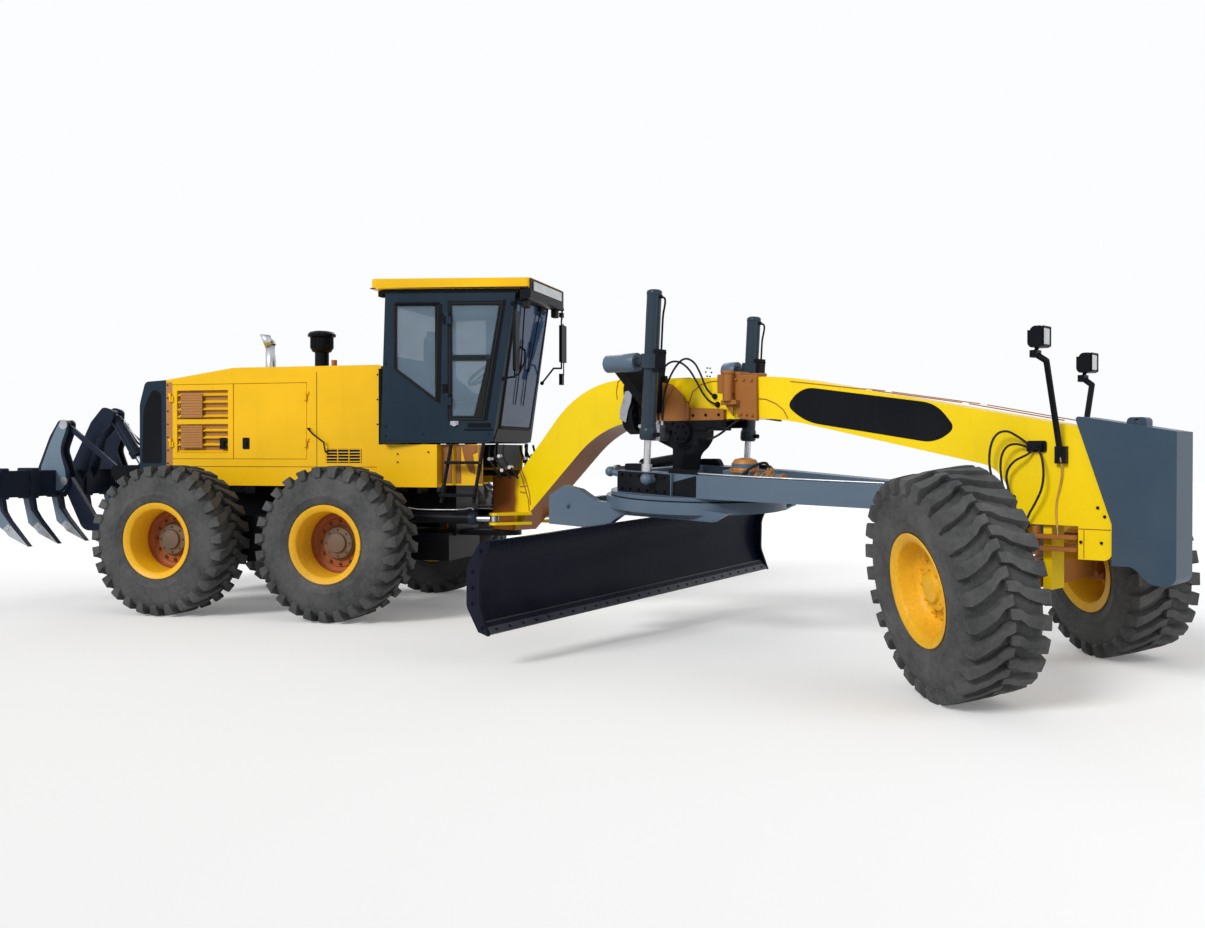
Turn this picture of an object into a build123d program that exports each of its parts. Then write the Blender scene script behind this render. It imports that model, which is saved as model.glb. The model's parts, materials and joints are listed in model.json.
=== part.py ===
"""Six-wheel articulated motor grader, parked with its front frame and front wheels turned to the right.

Millimetres, +Z up. The rear frame lies along +X with the hinge between the two frames on X = 0, Y = 0,
and the ground at Z = 0. Front pieces are drawn in a straight front frame and then turned about the hinge.
At the end everything is moved so that the origin is the middle of the footprint, on the ground.
"""
from build123d import *
import os
from collections import namedtuple
from math import asin, cos, degrees, pi, radians, sin

# Pose as parked, in degrees
ARTICULATION = 27.0
STEER = 36.0
LEAN = 12.0
CIRCLE_TURN = 6.0
DRAWBAR_RISE = 2.6
DRAWBAR_ROLL = 2.0
BLADE_SHIFT = 400.0

# Clearances
RUN = 0.05
SEAT = 0.3
GAP = 8.0

# Wheels and tyres
WHEELBASE_REAR = 2183.0
TANDEM_PITCH = 1840.0
TRACK = 2500.0
TYRE_RADIUS = 745.0
TYRE_WIDTH = 540.0
TREAD_DEPTH = 52.0
LUGS = 22
BEAD_RADIUS = 330.0
FLANGE_RADIUS = 377.0
RIM_WIDTH = 440.0
RIM_WALL = 16.0
BULGE_RADIUS = 530.0
BEAD_SLOPE = (TYRE_WIDTH / 2 - RIM_WIDTH / 2 + 14) / (BULGE_RADIUS - BEAD_RADIUS)
REAR_DISC = 85.0
FRONT_DISC = -70.0
HUB_RADIUS = 150.0
SPINDLE_RADIUS = 60.0

# Front axle
AXLE_X = 5615.0
AXLE_HALF = 65.0
PIVOT_Y = 1015.0
LEAN_ARM = 170.0
LEAN_PIN = 25.0
KINGPIN_INSET = 80.0
KINGPIN_RADIUS = 28.0
FRONT_HUB_END = 12.0
PIVOT_PIN = 45.0

# Rear frame
RAIL_INNER = 200.0
RAIL_OUTER = 300.0
RAIL_BOTTOM = 925.0
RAIL_TOP = 1190.0
REAR_END = -3960.0
FORK_ROOT = -420.0
HINGE_RADIUS = 60.0
FORK_HALF_WIDTH = 170.0
FORK_PLATE = 55.0
FOOT_BOTTOM = 830.0
FOOT_TOP = 1370.0
CASE_INNER = 700.0
CASE_OUTER = 900.0
CASE_RADIUS = 235.0

# Hood
HOOD_HALF_WIDTH = 620.0
HOOD_WALL = 40.0
HOOD_BOTTOM = 1270.0
HOOD_TOP = 2500.0
HOOD_REAR = -3600.0
HOOD_FRONT = -1100.0
HOOD_REAR_TOP = 2385.0
COWL_REAR = -3930.0
DOOR_BOTTOM = 1550.0
DOOR_TOP = 2330.0
DOOR_SPLIT = -2790.0
LOUVRE_DOOR_REAR = -3540.0
PLAIN_DOOR_FRONT = -1940.0

# Cab
CAB_REAR = -1020.0
CAB_FRONT_LOW = 80.0
CAB_FRONT_HIGH = 310.0
CAB_BOTTOM = 1710.0
CAB_TOP = 3230.0
CAB_HALF_REAR = 800.0
CAB_HALF_FRONT = 530.0
CAB_WALL = 50.0
ROOF_THICKNESS = 100.0
ROOF_REAR = -1110.0
ROOF_FRONT = 460.0
ROOF_OVERHANG = 40.0
CAB_DOOR_REAR = -360.0
CAB_DOOR_FRONT_LOW = 0.0
CAB_DOOR_FRONT_HIGH = 190.0
CAB_DOOR_BOTTOM = CAB_BOTTOM + 220.0
CAB_DOOR_TOP = CAB_TOP - 120.0
CAB_LEAN = 50.0
GLASS = 12.0
LAMP_POST = 21.0

# Gooseneck and front block
NECK_HALF_WIDTH = 150.0
BLOCK_HALF_WIDTH = 165.0
BLOCK_FRONT = 6605.0
TOW_PIN = (6315.0, 1828.0)

# Articulation cylinders: pin on the rear frame, eye on the front frame
ARTIC_PIN = (-1000.0, 520.0, 960.0)
ARTIC_EYE = (330.0, 450.0, 960.0)
EAR = 26.0
EAR_GAP = 34.0

# Saddle with the blade's lift and shift cylinders, in the straight front frame
LIFT_PIN = (2587.0, 720.0, 2385.0)
LIFT_SHAFT = 36.0
LIFT_ABOVE = {"right": 590.0, "left": 480.0}
LIFT_BELOW = 665.0
LIFT_BARREL = 63.0
LIFT_ROD = 30.0
LIFT_COLLAR = 90.0
SHIFT_PIN = (560.0, 1570.0)
YOKE_REAR = 1940.0
YOKE_FRONT = 2790.0
YOKE_THICKNESS = 130.0
SOCKET_RADIUS = 78.0

# Drawbar, circle and blade; places along the drawbar are measured back from its ball
BALL_X = 5330.0
BALL_Z = 1245.0
BALL_PIN = 34.0
STUB = 30.0
BEAM_HALF_HEIGHT = 95.0
BEAM_OUTER = 600.0
BEAM_INNER = 460.0
DRAWBAR_REAR = 3210.0
CIRCLE_BACK = 2830.0
CIRCLE_RADIUS = 800.0
CIRCLE_BORE = 640.0
CIRCLE_TOP = -135.0
CIRCLE_DEPTH = 100.0
STUD = 50.0
LIFT_STUD = (-2803.0, 720.0, 45.0)
SHIFT_STUD = (-3360.0, -560.0, 70.0)
SOCKET_GAP = 14.0
ARM_Y = 600.0
ARM_THICKNESS = 80.0
TIP_HINGE = (-600.0, -900.0)
TIP_PIN = 40.0
BLADE_PLACE = (-230.0, -680.0)
BLADE_LENGTH = 4270.0
BLADE_HEIGHT = 700.0
BLADE_RADIUS = 480.0
BLADE_PLATE = 28.0
RAIL_Z = 200.0
RAIL_SIZE = 60.0
RAIL_LENGTH = 3000.0

# Ripper at the rear: pins of the lower arms and upper links on the rear frame, in x and z
RIPPER_LOWER = (-4310.0, 800.0)
RIPPER_UPPER = (-4310.0, 1420.0)
RIPPER_REACH = (-670.0, 500.0)
RIPPER_ARM_Y = 460.0
RIPPER_PIN = 25.0
RIPPER_HEAD = (-4740.0, 2050.0)
RIPPER_FOOT = (-4123.0, 1139.0)
RIPPER_BEAM_LENGTH = 2900.0
SHANKS = 7
SHANK_PITCH = (RIPPER_BEAM_LENGTH - 302.0) / (SHANKS - 1)


def block(x, y, z):
    """Box from pairs of low and high coordinates."""
    middle = [(low + high) / 2 for low, high in (x, y, z)]
    return Pos(*middle) * Box(x[1] - x[0], y[1] - y[0], z[1] - z[0])


def bar(start, end, radius):
    """Round bar between two points."""
    start = Vector(*start)
    along = Vector(*end) - start
    base = (Align.CENTER, Align.CENTER, Align.MIN)
    return Plane(origin=start, z_dir=along) * Cylinder(radius, along.length, align=base)


def closed_line(points, radii):
    """Closed outline; a corner with a radius is rounded."""
    if not any(radii):
        return Polyline(*points, close=True)
    return FilletPolyline(*points, radius=radii, close=True)


def plate(outline, axis, low, high):
    """Prism of an outline of (u, v) or (u, v, corner radius), along axis x, y or z from low to high.

    u and v are the other two axes in X, Y, Z order.
    """
    index = "xyz".index(axis)
    along = [0, 0, 0]
    along[index] = 1
    points = []
    radii = []
    for corner in outline:
        point = list(corner[:2])
        point.insert(index, low)
        points.append(tuple(point))
        radii.append(corner[2] if len(corner) > 2 else 0)
    return extrude(make_face(closed_line(points, radii)), amount=high - low, dir=tuple(along))


def mirrored(shape):
    """The same shape on the other side of the machine."""
    return mirror(shape, about=Plane.XZ)


def both(shape):
    """Shape and its mirror image across the machine's middle, fused where they meet."""
    return shape + mirrored(shape)


def apart(*shapes):
    """Separate solids kept in one piece list."""
    solids = [solid for shape in shapes for solid in shape.solids()]
    return Compound(children=solids)


def polyhedron(points, faces):
    """Solid from flat faces given as lists of point numbers."""
    skins = [Face(Wire.make_polygon([Vector(*points[i]) for i in face], close=True)) for face in faces]
    return Solid(Shell(skins))


def tyre():
    """Tyre round the Y axis, outer side towards -Y, with two rows of slanted lugs."""
    half = TYRE_WIDTH / 2
    base = TYRE_RADIUS - TREAD_DEPTH
    profile = [(BEAD_RADIUS, -RIM_WIDTH / 2 + 14), (BULGE_RADIUS, -half), (base, -half + 40),
               (base, half - 40), (BULGE_RADIUS, half), (BEAD_RADIUS, RIM_WIDTH / 2 - 14)]
    rings = len(profile)

    def ring_point(step, ring):
        angle = 2 * pi * step / LUGS
        radius, across = profile[ring]
        return (radius * sin(angle), across, radius * cos(angle))

    points = [ring_point(step, ring) for step in range(LUGS) for ring in range(rings)]
    faces = []
    for step in range(LUGS):
        here, there = step * rings, (step + 1) % LUGS * rings
        for ring in range(rings):
            following = (ring + 1) % rings
            faces.append([here + ring, here + following, there + following, there + ring])
    carcass = polyhedron(points, faces)
    lug_row = [lug(side, 2 * pi * (step + (0.5 if side > 0 else 0.0)) / LUGS)
               for side in (-1, 1) for step in range(LUGS)]
    return carcass.fuse(*lug_row)


def lug(side, angle):
    """One lug from beside the middle of the tread out over the shoulder."""
    half = TYRE_WIDTH / 2
    sunk = TYRE_RADIUS - TREAD_DEPTH - 25
    slant = 0.17
    Corner = namedtuple("Corner", "radius across half_angle turn")
    corners = [Corner(TYRE_RADIUS, 12, 0.045, 0), Corner(sunk, 12, 0.055, 0),
               Corner(TYRE_RADIUS - 6, half - 22, 0.062, slant), Corner(sunk - 40, half + 2, 0.07, slant),
               Corner(sunk - 70, half - 60, 0.07, slant)]
    points = []
    for corner in corners:
        for edge in (-1, 1):
            turn = angle + corner.turn + edge * corner.half_angle
            points.append((corner.radius * sin(turn), side * corner.across, corner.radius * cos(turn)))
    faces = [[0, 1, 3], [0, 3, 2], [0, 4, 5], [0, 5, 1], [4, 6, 7], [4, 7, 5], [6, 8, 9], [6, 9, 7],
             [2, 3, 9], [2, 9, 8], [0, 2, 4], [2, 8, 4], [4, 8, 6], [1, 5, 3], [3, 5, 9], [5, 7, 9]]
    return polyhedron(points, faces)


def revolved(profile):
    """Ring round the Y axis from (radius, across) points."""
    face = make_face(Polyline(*[(radius, across, 0) for radius, across in profile], close=True))
    return revolve(face, Axis.Y)


def rim(disc, hub_end, spindle_end):
    """Rim round the Y axis: its disc stands at across = disc, its bored hub reaches inboard to hub_end."""
    seat = BEAD_RADIUS * cos(pi / LUGS) - SEAT
    edge = RIM_WIDTH / 2
    inside = seat - RIM_WALL
    lip = edge - 14 + (FLANGE_RADIUS - BEAD_RADIUS) * BEAD_SLOPE
    profile = [(seat, -edge + 14), (FLANGE_RADIUS, -lip - 2), (FLANGE_RADIUS, -lip - 15),
               (inside - 8, -lip - 8), (inside - 30, -edge + 60), (inside - 30, disc - 10),
               (HUB_RADIUS, disc - 10), (HUB_RADIUS, disc - 60), (0, disc - 60), (0, disc + 20),
               (inside, disc + 20), (inside, edge), (FLANGE_RADIUS, lip + 15), (FLANGE_RADIUS, lip + 2),
               (seat, edge - 14)]
    hub = bar((0, disc, 0), (0, hub_end, 0), HUB_RADIUS - 20)
    bore = bar((0, spindle_end, 0), (0, hub_end + 1, 0), SPINDLE_RADIUS + RUN)
    return revolved(profile) + hub - bore


parts = {}
RIGHT, LEFT = -1, 1
SIDES = {"right": RIGHT, "left": LEFT}
rest_tyre = tyre()
WHEEL_Z = -rest_tyre.bounding_box().min.Z


def on_side(side, shape):
    """A piece drawn for the right side, put on the named side."""
    return shape if side == RIGHT else mirrored(shape)


# Rear axle, tandem cases and rear wheels
HUB_END = TRACK / 2 - CASE_OUTER - GAP
SPINDLE_REACH = TRACK / 2 - REAR_DISC - 60.0
case = block((-WHEELBASE_REAR - TANDEM_PITCH / 2, -WHEELBASE_REAR + TANDEM_PITCH / 2),
             (-CASE_OUTER, -CASE_INNER), (WHEEL_Z - CASE_RADIUS, WHEEL_Z + CASE_RADIUS))
for row in (-1, 1):
    wheel_x = -WHEELBASE_REAR + row * TANDEM_PITCH / 2
    case += bar((wheel_x, -CASE_OUTER, WHEEL_Z), (wheel_x, -CASE_INNER, WHEEL_Z), CASE_RADIUS)
    case += bar((wheel_x, -SPINDLE_REACH, WHEEL_Z), (wheel_x, -CASE_OUTER, WHEEL_Z), SPINDLE_RADIUS)
axle = bar((-WHEELBASE_REAR, -CASE_INNER, WHEEL_Z), (-WHEELBASE_REAR, CASE_INNER, WHEEL_Z), 170)
axle += bar((-WHEELBASE_REAR, -180, WHEEL_Z), (-WHEELBASE_REAR, 180, WHEEL_Z), 250)
for pad_x in (-WHEELBASE_REAR - 110, -WHEELBASE_REAR + 110):
    pad_y = (-RAIL_OUTER + 10, -RAIL_INNER - 10)
    axle += both(block((pad_x - 60, pad_x + 60), pad_y, (WHEEL_Z + 60, RAIL_BOTTOM - SEAT)))
parts["rear_axle"] = both(case) + axle
rear_rim = rim(REAR_DISC, HUB_END, REAR_DISC + 50)
for side_name, side in SIDES.items():
    for row_name, row in (("rear", -1), ("middle", 1)):
        place = Pos(-WHEELBASE_REAR + row * TANDEM_PITCH / 2, side * TRACK / 2, WHEEL_Z)
        parts[f"{row_name}_tyre_{side_name}"] = place * on_side(side, rest_tyre)
        parts[f"{row_name}_rim_{side_name}"] = place * on_side(side, rear_rim)

# Rear frame: rails, cross beams, hinge fork, cab posts and ripper plate
frame = both(block((REAR_END, FORK_ROOT), (-RAIL_OUTER, -RAIL_INNER), (RAIL_BOTTOM, RAIL_TOP)))
face = REAR_END - 60
frame += block((face, REAR_END), (-525, 525), (640, 1490))
for beam_x in (-3500.0, -2600.0, -1300.0):
    frame += block((beam_x - 60, beam_x + 60), (-HOOD_HALF_WIDTH, HOOD_HALF_WIDTH), (RAIL_TOP, HOOD_BOTTOM))
fork_low = FOOT_BOTTOM - GAP - FORK_PLATE
fork_high = FOOT_TOP + GAP + FORK_PLATE
frame += block((FORK_ROOT - 90, FORK_ROOT), (-RAIL_OUTER, RAIL_OUTER), (fork_low, fork_high))
for low in (fork_low, FOOT_TOP + GAP):
    fork = block((FORK_ROOT, 0), (-FORK_HALF_WIDTH, FORK_HALF_WIDTH), (low, low + FORK_PLATE))
    fork += bar((0, 0, low), (0, 0, low + FORK_PLATE), FORK_HALF_WIDTH)
    frame += fork - bar((0, 0, low - 1), (0, 0, low + FORK_PLATE + 1), HINGE_RADIUS + RUN)
for post_x in (-900.0, -480.0):
    frame += both(block((post_x - 50, post_x + 50), (-RAIL_OUTER, -RAIL_INNER), (RAIL_TOP, CAB_BOTTOM)))
frame += block((-440, 40), (-330, 330), (fork_high + 30, CAB_BOTTOM - 15))
frame += block((-1500, FORK_ROOT - 30), (-420, 420), (520, 800))
frame += block((-1500, -1400), (-RAIL_OUTER, RAIL_OUTER), (800, RAIL_BOTTOM))
frame += block((FORK_ROOT - 90, FORK_ROOT - 30), (-RAIL_INNER, RAIL_INNER), (700, RAIL_BOTTOM))
pin_x, pin_y, pin_z = ARTIC_PIN
for low in (pin_z - EAR_GAP - EAR, pin_z + EAR_GAP):
    ear = [(pin_x - 60, -pin_y - 60, 50), (pin_x + 60, -pin_y - 60, 50), (pin_x + 60, -RAIL_OUTER + 1),
           (pin_x - 60, -RAIL_OUTER + 1)]
    frame += both(plate(ear, "z", low, low + EAR))
frame += both(bar((pin_x, -pin_y, pin_z - EAR_GAP - EAR), (pin_x, -pin_y, pin_z + EAR_GAP + EAR), RIPPER_PIN))


def ear_pairs(outline, pins):
    """Two ear plates on each side of the machine round the ripper's arms or links, with their pins."""
    low, high = -RIPPER_ARM_Y - EAR_GAP - EAR - 5, -RIPPER_ARM_Y + EAR_GAP + EAR + 5
    pair = plate(outline, "y", low, low + EAR) + plate(outline, "y", high - EAR, high)
    for x, z in pins:
        pair += bar((x, low, z), (x, high, z), RIPPER_PIN)
    return both(pair)


lower_x, lower_z = RIPPER_LOWER
upper_x, upper_z = RIPPER_UPPER
bracket = [(face + 1, lower_z - 140), (lower_x - 60, lower_z - 60, 55), (lower_x - 60, lower_z + 60, 55),
           (face - 150, lower_z + 200, 80), (face - 150, upper_z - 200, 80), (upper_x - 55, upper_z - 60, 50),
           (upper_x - 55, upper_z + 55, 50), (face + 1, upper_z + 60)]
frame += ear_pairs(bracket, [RIPPER_LOWER, RIPPER_UPPER])
foot_x, foot_z = RIPPER_FOOT
foot_ear = [(face + 1, foot_z - 80), (foot_x - 55, foot_z - 60, 50), (foot_x - 55, foot_z + 60, 50),
            (face + 1, foot_z + 90)]
frame += both(plate(foot_ear, "y", -86, -60) + bar((foot_x, -96, foot_z), (foot_x, -60, foot_z), RIPPER_PIN))
parts["rear_frame"] = frame

# Engine, hood and cowl
beam_slot = block((-2670, -2530), (-400, 400), (RAIL_TOP - 1, HOOD_BOTTOM))
parts["engine_block"] = block((-3300, -1900), (-330, 330), (RAIL_TOP, 2150)) - beam_slot
hood_outline = [(HOOD_REAR, HOOD_BOTTOM), (HOOD_FRONT, HOOD_BOTTOM), (HOOD_FRONT, HOOD_TOP, 30),
                (DOOR_SPLIT, HOOD_TOP, 400), (HOOD_REAR, HOOD_REAR_TOP)]
hood = plate(hood_outline, "y", -HOOD_HALF_WIDTH, HOOD_HALF_WIDTH)
cavity = [(HOOD_REAR - 1, HOOD_BOTTOM - 1), (HOOD_FRONT - HOOD_WALL, HOOD_BOTTOM - 1),
          (HOOD_FRONT - HOOD_WALL, HOOD_TOP - HOOD_WALL), (DOOR_SPLIT, HOOD_TOP - HOOD_WALL),
          (HOOD_REAR - 1, HOOD_REAR_TOP - HOOD_WALL)]
hood -= plate(cavity, "y", -HOOD_HALF_WIDTH + HOOD_WALL, HOOD_HALF_WIDTH - HOOD_WALL)
hood_inside = -HOOD_HALF_WIDTH + HOOD_WALL
locker = block((HOOD_FRONT - 10, -460), (-700, hood_inside), (HOOD_BOTTOM, CAB_BOTTOM - 15))
engine_doors = [("plain", DOOR_SPLIT + 5, PLAIN_DOOR_FRONT), ("louvre", LOUVRE_DOOR_REAR, DOOR_SPLIT - 5)]
for door_name, rear, front in engine_doors:
    opening_y = (-HOOD_HALF_WIDTH - 1, hood_inside + 1)
    hood -= both(block((rear - 5, front + 5), opening_y, (DOOR_BOTTOM - 5, DOOR_TOP + 5)))
    leaf = block((rear, front), (-HOOD_HALF_WIDTH, hood_inside), (DOOR_BOTTOM, DOOR_TOP))
    if door_name == "louvre":
        leaf -= block((rear + 70, front - 60), (-HOOD_HALF_WIDTH - 1, 0), (DOOR_BOTTOM + 60, DOOR_TOP - 60))
        for step in range(9):
            slat_z = DOOR_BOTTOM + 75 + step * 75
            slat = Pos((rear + front) / 2 + 5, -HOOD_HALF_WIDTH + HOOD_WALL / 2, slat_z) * Rot(35, 0, 0)
            leaf += slat * Box(front - rear - 120, 38, 8)
        bar_z = (DOOR_BOTTOM + DOOR_TOP) / 2
        leaf += block((rear + 60, front - 50), (-HOOD_HALF_WIDTH + 2, hood_inside), (bar_z - 25, bar_z + 25))
    hinge_x = front if door_name == "plain" else rear
    pin_y = -HOOD_HALF_WIDTH - 14
    for pin_z in (DOOR_BOTTOM + 120, DOOR_TOP - 180):
        leaf += bar((hinge_x, pin_y, pin_z), (hinge_x, pin_y, pin_z + 60), 13)
        leaf_x, jamb_x = (hinge_x - 30, hinge_x) if door_name == "plain" else (hinge_x, hinge_x - 30)
        leaf += block((leaf_x, leaf_x + 30), (pin_y, -HOOD_HALF_WIDTH), (pin_z, pin_z + 60))
        knuckle = bar((hinge_x, pin_y, pin_z + 60 + SEAT), (hinge_x, pin_y, pin_z + 90), 13)
        jamb_z = (pin_z + 60 + SEAT, pin_z + 90)
        knuckle += block((jamb_x, jamb_x + 30), (pin_y, -HOOD_HALF_WIDTH + 1), jamb_z)
        hood += both(knuckle)
    for side_name, side in SIDES.items():
        parts[f"{door_name}_door_{side_name}"] = on_side(side, leaf)
step_bay = block((-461, -20), (-600, hood_inside), (HOOD_BOTTOM + 20, CAB_BOTTOM - 15))
parts["hood"] = hood + both(locker + step_bay)

cowl_outline = [(HOOD_REAR - SEAT, 1400), (HOOD_REAR - SEAT, HOOD_REAR_TOP), (COWL_REAR + 70, 2370, 60),
                (COWL_REAR, 2130, 300), (COWL_REAR, 1400)]
cowl = plate(cowl_outline, "y", -HOOD_HALF_WIDTH, HOOD_HALF_WIDTH)
cowl -= block((COWL_REAR + 50, HOOD_REAR), (-HOOD_HALF_WIDTH + 60, HOOD_HALF_WIDTH - 60), (1399, 2320))
cowl -= block((COWL_REAR - 1, COWL_REAR + 60), (-440, 440), (1560, 2160))
for step in range(8):
    cowl += block((COWL_REAR + 15, COWL_REAR + 45), (-445, 445), (1600 + step * 72, 1625 + step * 72))
parts["rear_cowl"] = cowl

parts["exhaust"] = (bar((-2720, 0, HOOD_TOP), (-2720, 0, 2780), 55)
                    + Pos(-2720, 0, 2780) * Sphere(55)
                    + bar((-2720, 0, 2780), (-2790, 0, 2930), 55))
parts["precleaner"] = (bar((-2100, 0, HOOD_TOP), (-2100, 0, 2700), 75)
                       + bar((-2100, 0, 2690), (-2100, 0, 2860), 120)
                       + bar((-2100, 0, 2860), (-2100, 0, 2925), 150))


# Cab: narrower at the front, its windscreen leaning forward at the top
def cab_half(x):
    """Half width of the cab's outside at x."""
    share = (x - CAB_REAR) / (CAB_FRONT_HIGH - CAB_REAR)
    return CAB_HALF_REAR + (CAB_HALF_FRONT - CAB_HALF_REAR) * share


def cab_form(inset):
    """Cab outside, or its inside when inset by a wall."""
    rear, front = CAB_REAR + inset, CAB_FRONT_HIGH - inset
    side = [(rear, CAB_BOTTOM + inset), (CAB_FRONT_LOW - inset, CAB_BOTTOM + inset, 70),
            (front, CAB_TOP - inset), (rear + CAB_LEAN, CAB_TOP - inset)]
    plan = [(rear, inset - cab_half(rear)), (CAB_FRONT_HIGH, inset - cab_half(CAB_FRONT_HIGH)),
            (CAB_FRONT_HIGH, cab_half(CAB_FRONT_HIGH) - inset), (rear, cab_half(rear) - inset)]
    return plate(side, "y", -1000, 1000) & plate(plan, "z", CAB_BOTTOM, CAB_TOP)


def cab_z(share):
    """Height in the cab at a share of the way from its floor to its roof."""
    return CAB_BOTTOM + (CAB_TOP - CAB_BOTTOM) * share


cab_skin = cab_form(0) - cab_form(CAB_WALL)
door_hole = [(CAB_DOOR_REAR, CAB_DOOR_BOTTOM), (CAB_DOOR_FRONT_LOW, CAB_DOOR_BOTTOM),
             (CAB_DOOR_FRONT_HIGH, CAB_DOOR_TOP), (CAB_DOOR_REAR, CAB_DOOR_TOP)]
door_leaf = [(CAB_DOOR_REAR + 6, CAB_DOOR_BOTTOM + 6), (CAB_DOOR_FRONT_LOW - 7, CAB_DOOR_BOTTOM + 6),
             (CAB_DOOR_FRONT_HIGH - 7, CAB_DOOR_TOP - 6), (CAB_DOOR_REAR + 6, CAB_DOOR_TOP - 6)]
window_top = CAB_TOP - 150
quarter_hole = [(-875, window_top), (-875, cab_z(0.48)), (-470, cab_z(0.276)), (-445, window_top)]
rear_hole = [(-600, cab_z(0.572)), (600, cab_z(0.572)), (600, window_top), (-600, window_top)]
screen_bottom, screen_top = CAB_BOTTOM + 150, CAB_TOP - 90
screen_hole = [(-450, screen_bottom), (450, screen_bottom), (480, screen_top), (-480, screen_top)]
cab_body = cab_skin - plate(door_hole, "y", -1000, 1000) - plate(quarter_hole, "y", -1000, 1000)
cab_body -= plate(rear_hole, "x", CAB_REAR - 10, CAB_REAR + CAB_LEAN + CAB_WALL + 10)
cab_body -= plate(screen_hole, "x", -60, CAB_FRONT_HIGH + 100)

pane = cab_form(CAB_WALL / 2 - GLASS / 2) - cab_form(CAB_WALL / 2 + GLASS / 2)
parts["cab_glass"] = apart(pane & plate(quarter_hole, "y", -1000, 1000),
                           pane & plate(rear_hole, "x", CAB_REAR - 10, CAB_REAR + CAB_LEAN + CAB_WALL + 10),
                           pane & plate(screen_hole, "x", -60, CAB_FRONT_HIGH + 100))
leaf = cab_skin & plate(door_leaf, "y", -1000, 0)
door_glass = [(CAB_DOOR_REAR + 35, CAB_DOOR_BOTTOM + 45), (CAB_DOOR_FRONT_LOW - 35, CAB_DOOR_BOTTOM + 45),
              (CAB_DOOR_FRONT_HIGH - 38, CAB_DOOR_TOP - 30), (CAB_DOOR_REAR + 35, CAB_DOOR_TOP - 30)]
leaf -= plate(door_glass, "y", -1000, 0) - block((-1000, 1000), (-1000, 0), (cab_z(0.533), cab_z(0.572)))
CAB_PIN_Y = -cab_half(CAB_DOOR_REAR) - 22
pin_x = CAB_DOOR_REAR + 10
for pin_z in (CAB_DOOR_BOTTOM + 150, CAB_DOOR_TOP - 230):
    leaf += bar((pin_x, CAB_PIN_Y, pin_z), (pin_x, CAB_PIN_Y, pin_z + 80), 15)
    leaf += block((pin_x, pin_x + 35), (CAB_PIN_Y - 5, CAB_PIN_Y + 35), (pin_z, pin_z + 80))
    knuckle_z = (pin_z + 80 + SEAT, pin_z + 120)
    knuckle = bar((pin_x, CAB_PIN_Y, knuckle_z[0]), (pin_x, CAB_PIN_Y, knuckle_z[1]), 15)
    knuckle += block((pin_x - 40, CAB_DOOR_REAR), (CAB_PIN_Y, CAB_PIN_Y + 45), knuckle_z)
    cab_body += both(knuckle)
parts["cab_body"] = cab_body
for side_name, side in SIDES.items():
    parts[f"cab_door_{side_name}"] = on_side(side, leaf)

rear_edge = cab_half(ROOF_REAR) + ROOF_OVERHANG
front_edge = cab_half(ROOF_FRONT) + ROOF_OVERHANG
roof_plan = [(ROOF_REAR, -rear_edge, 60), (ROOF_FRONT, -front_edge, 60), (ROOF_FRONT, front_edge, 60),
             (ROOF_REAR, rear_edge, 60)]
parts["cab_roof"] = (plate(roof_plan, "z", CAB_TOP, CAB_TOP + ROOF_THICKNESS)
                     + block((ROOF_FRONT - 90, ROOF_FRONT - 20), (-430, 430), (CAB_TOP - 90, CAB_TOP)))
seat_z = cab_z(0.276)
floor_z = CAB_BOTTOM + CAB_WALL
seat = block((-760, -300), (-250, 250), (seat_z, seat_z + 110))
seat += block((-840, -740), (-240, 240), (seat_z, cab_z(0.757)))
parts["seat"] = seat + block((-640, -420), (-130, 130), (floor_z, seat_z))
console_z = cab_z(0.388)
steering_wheel = Pos(-215, 0, console_z + 140) * Rot(0, -35, 0)
parts["control_console"] = (block((-150, -40), (-200, 200), (floor_z, console_z))
                            + bar((-100, 0, console_z - 20), (-215, 0, console_z + 140), 30)
                            + steering_wheel * Torus(200, 16) + steering_wheel * Box(400, 30, 14))
STEP_FOOT = 1120.0
ladder = None
for rail_x in (-330.0, 10.0):
    stringer = bar((rail_x, -640, CAB_BOTTOM), (rail_x - 60, -760, STEP_FOOT), 18)
    ladder = stringer if ladder is None else ladder + stringer
for step_z in (1515.0, 1197.0):
    share = (CAB_BOTTOM - step_z) / (CAB_BOTTOM - STEP_FOOT)
    step_x = (-345 - 60 * share, 25 - 60 * share)
    step_y = (-700 - 120 * share, -620 - 120 * share)
    ladder += block(step_x, step_y, (step_z - 15, step_z + 15))
ladder &= block((-1000, 1000), (-1000, 0), (0, CAB_BOTTOM - SEAT))
parts["cab_steps"] = apart(ladder, mirrored(ladder))


# Places of the front frame, of the drawbar's ball and of the drawbar
FRONT = Rot(0, 0, -ARTICULATION)
BALL = FRONT * Pos(BALL_X, 0, BALL_Z) * Rot(0, DRAWBAR_RISE, 0)
DRAWBAR = BALL * Rot(DRAWBAR_ROLL, 0, 0)


def swung(point, place):
    """Point given in a placed frame, in the straight front frame."""
    return (FRONT.inverse() * place * Pos(*point)).position


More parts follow.
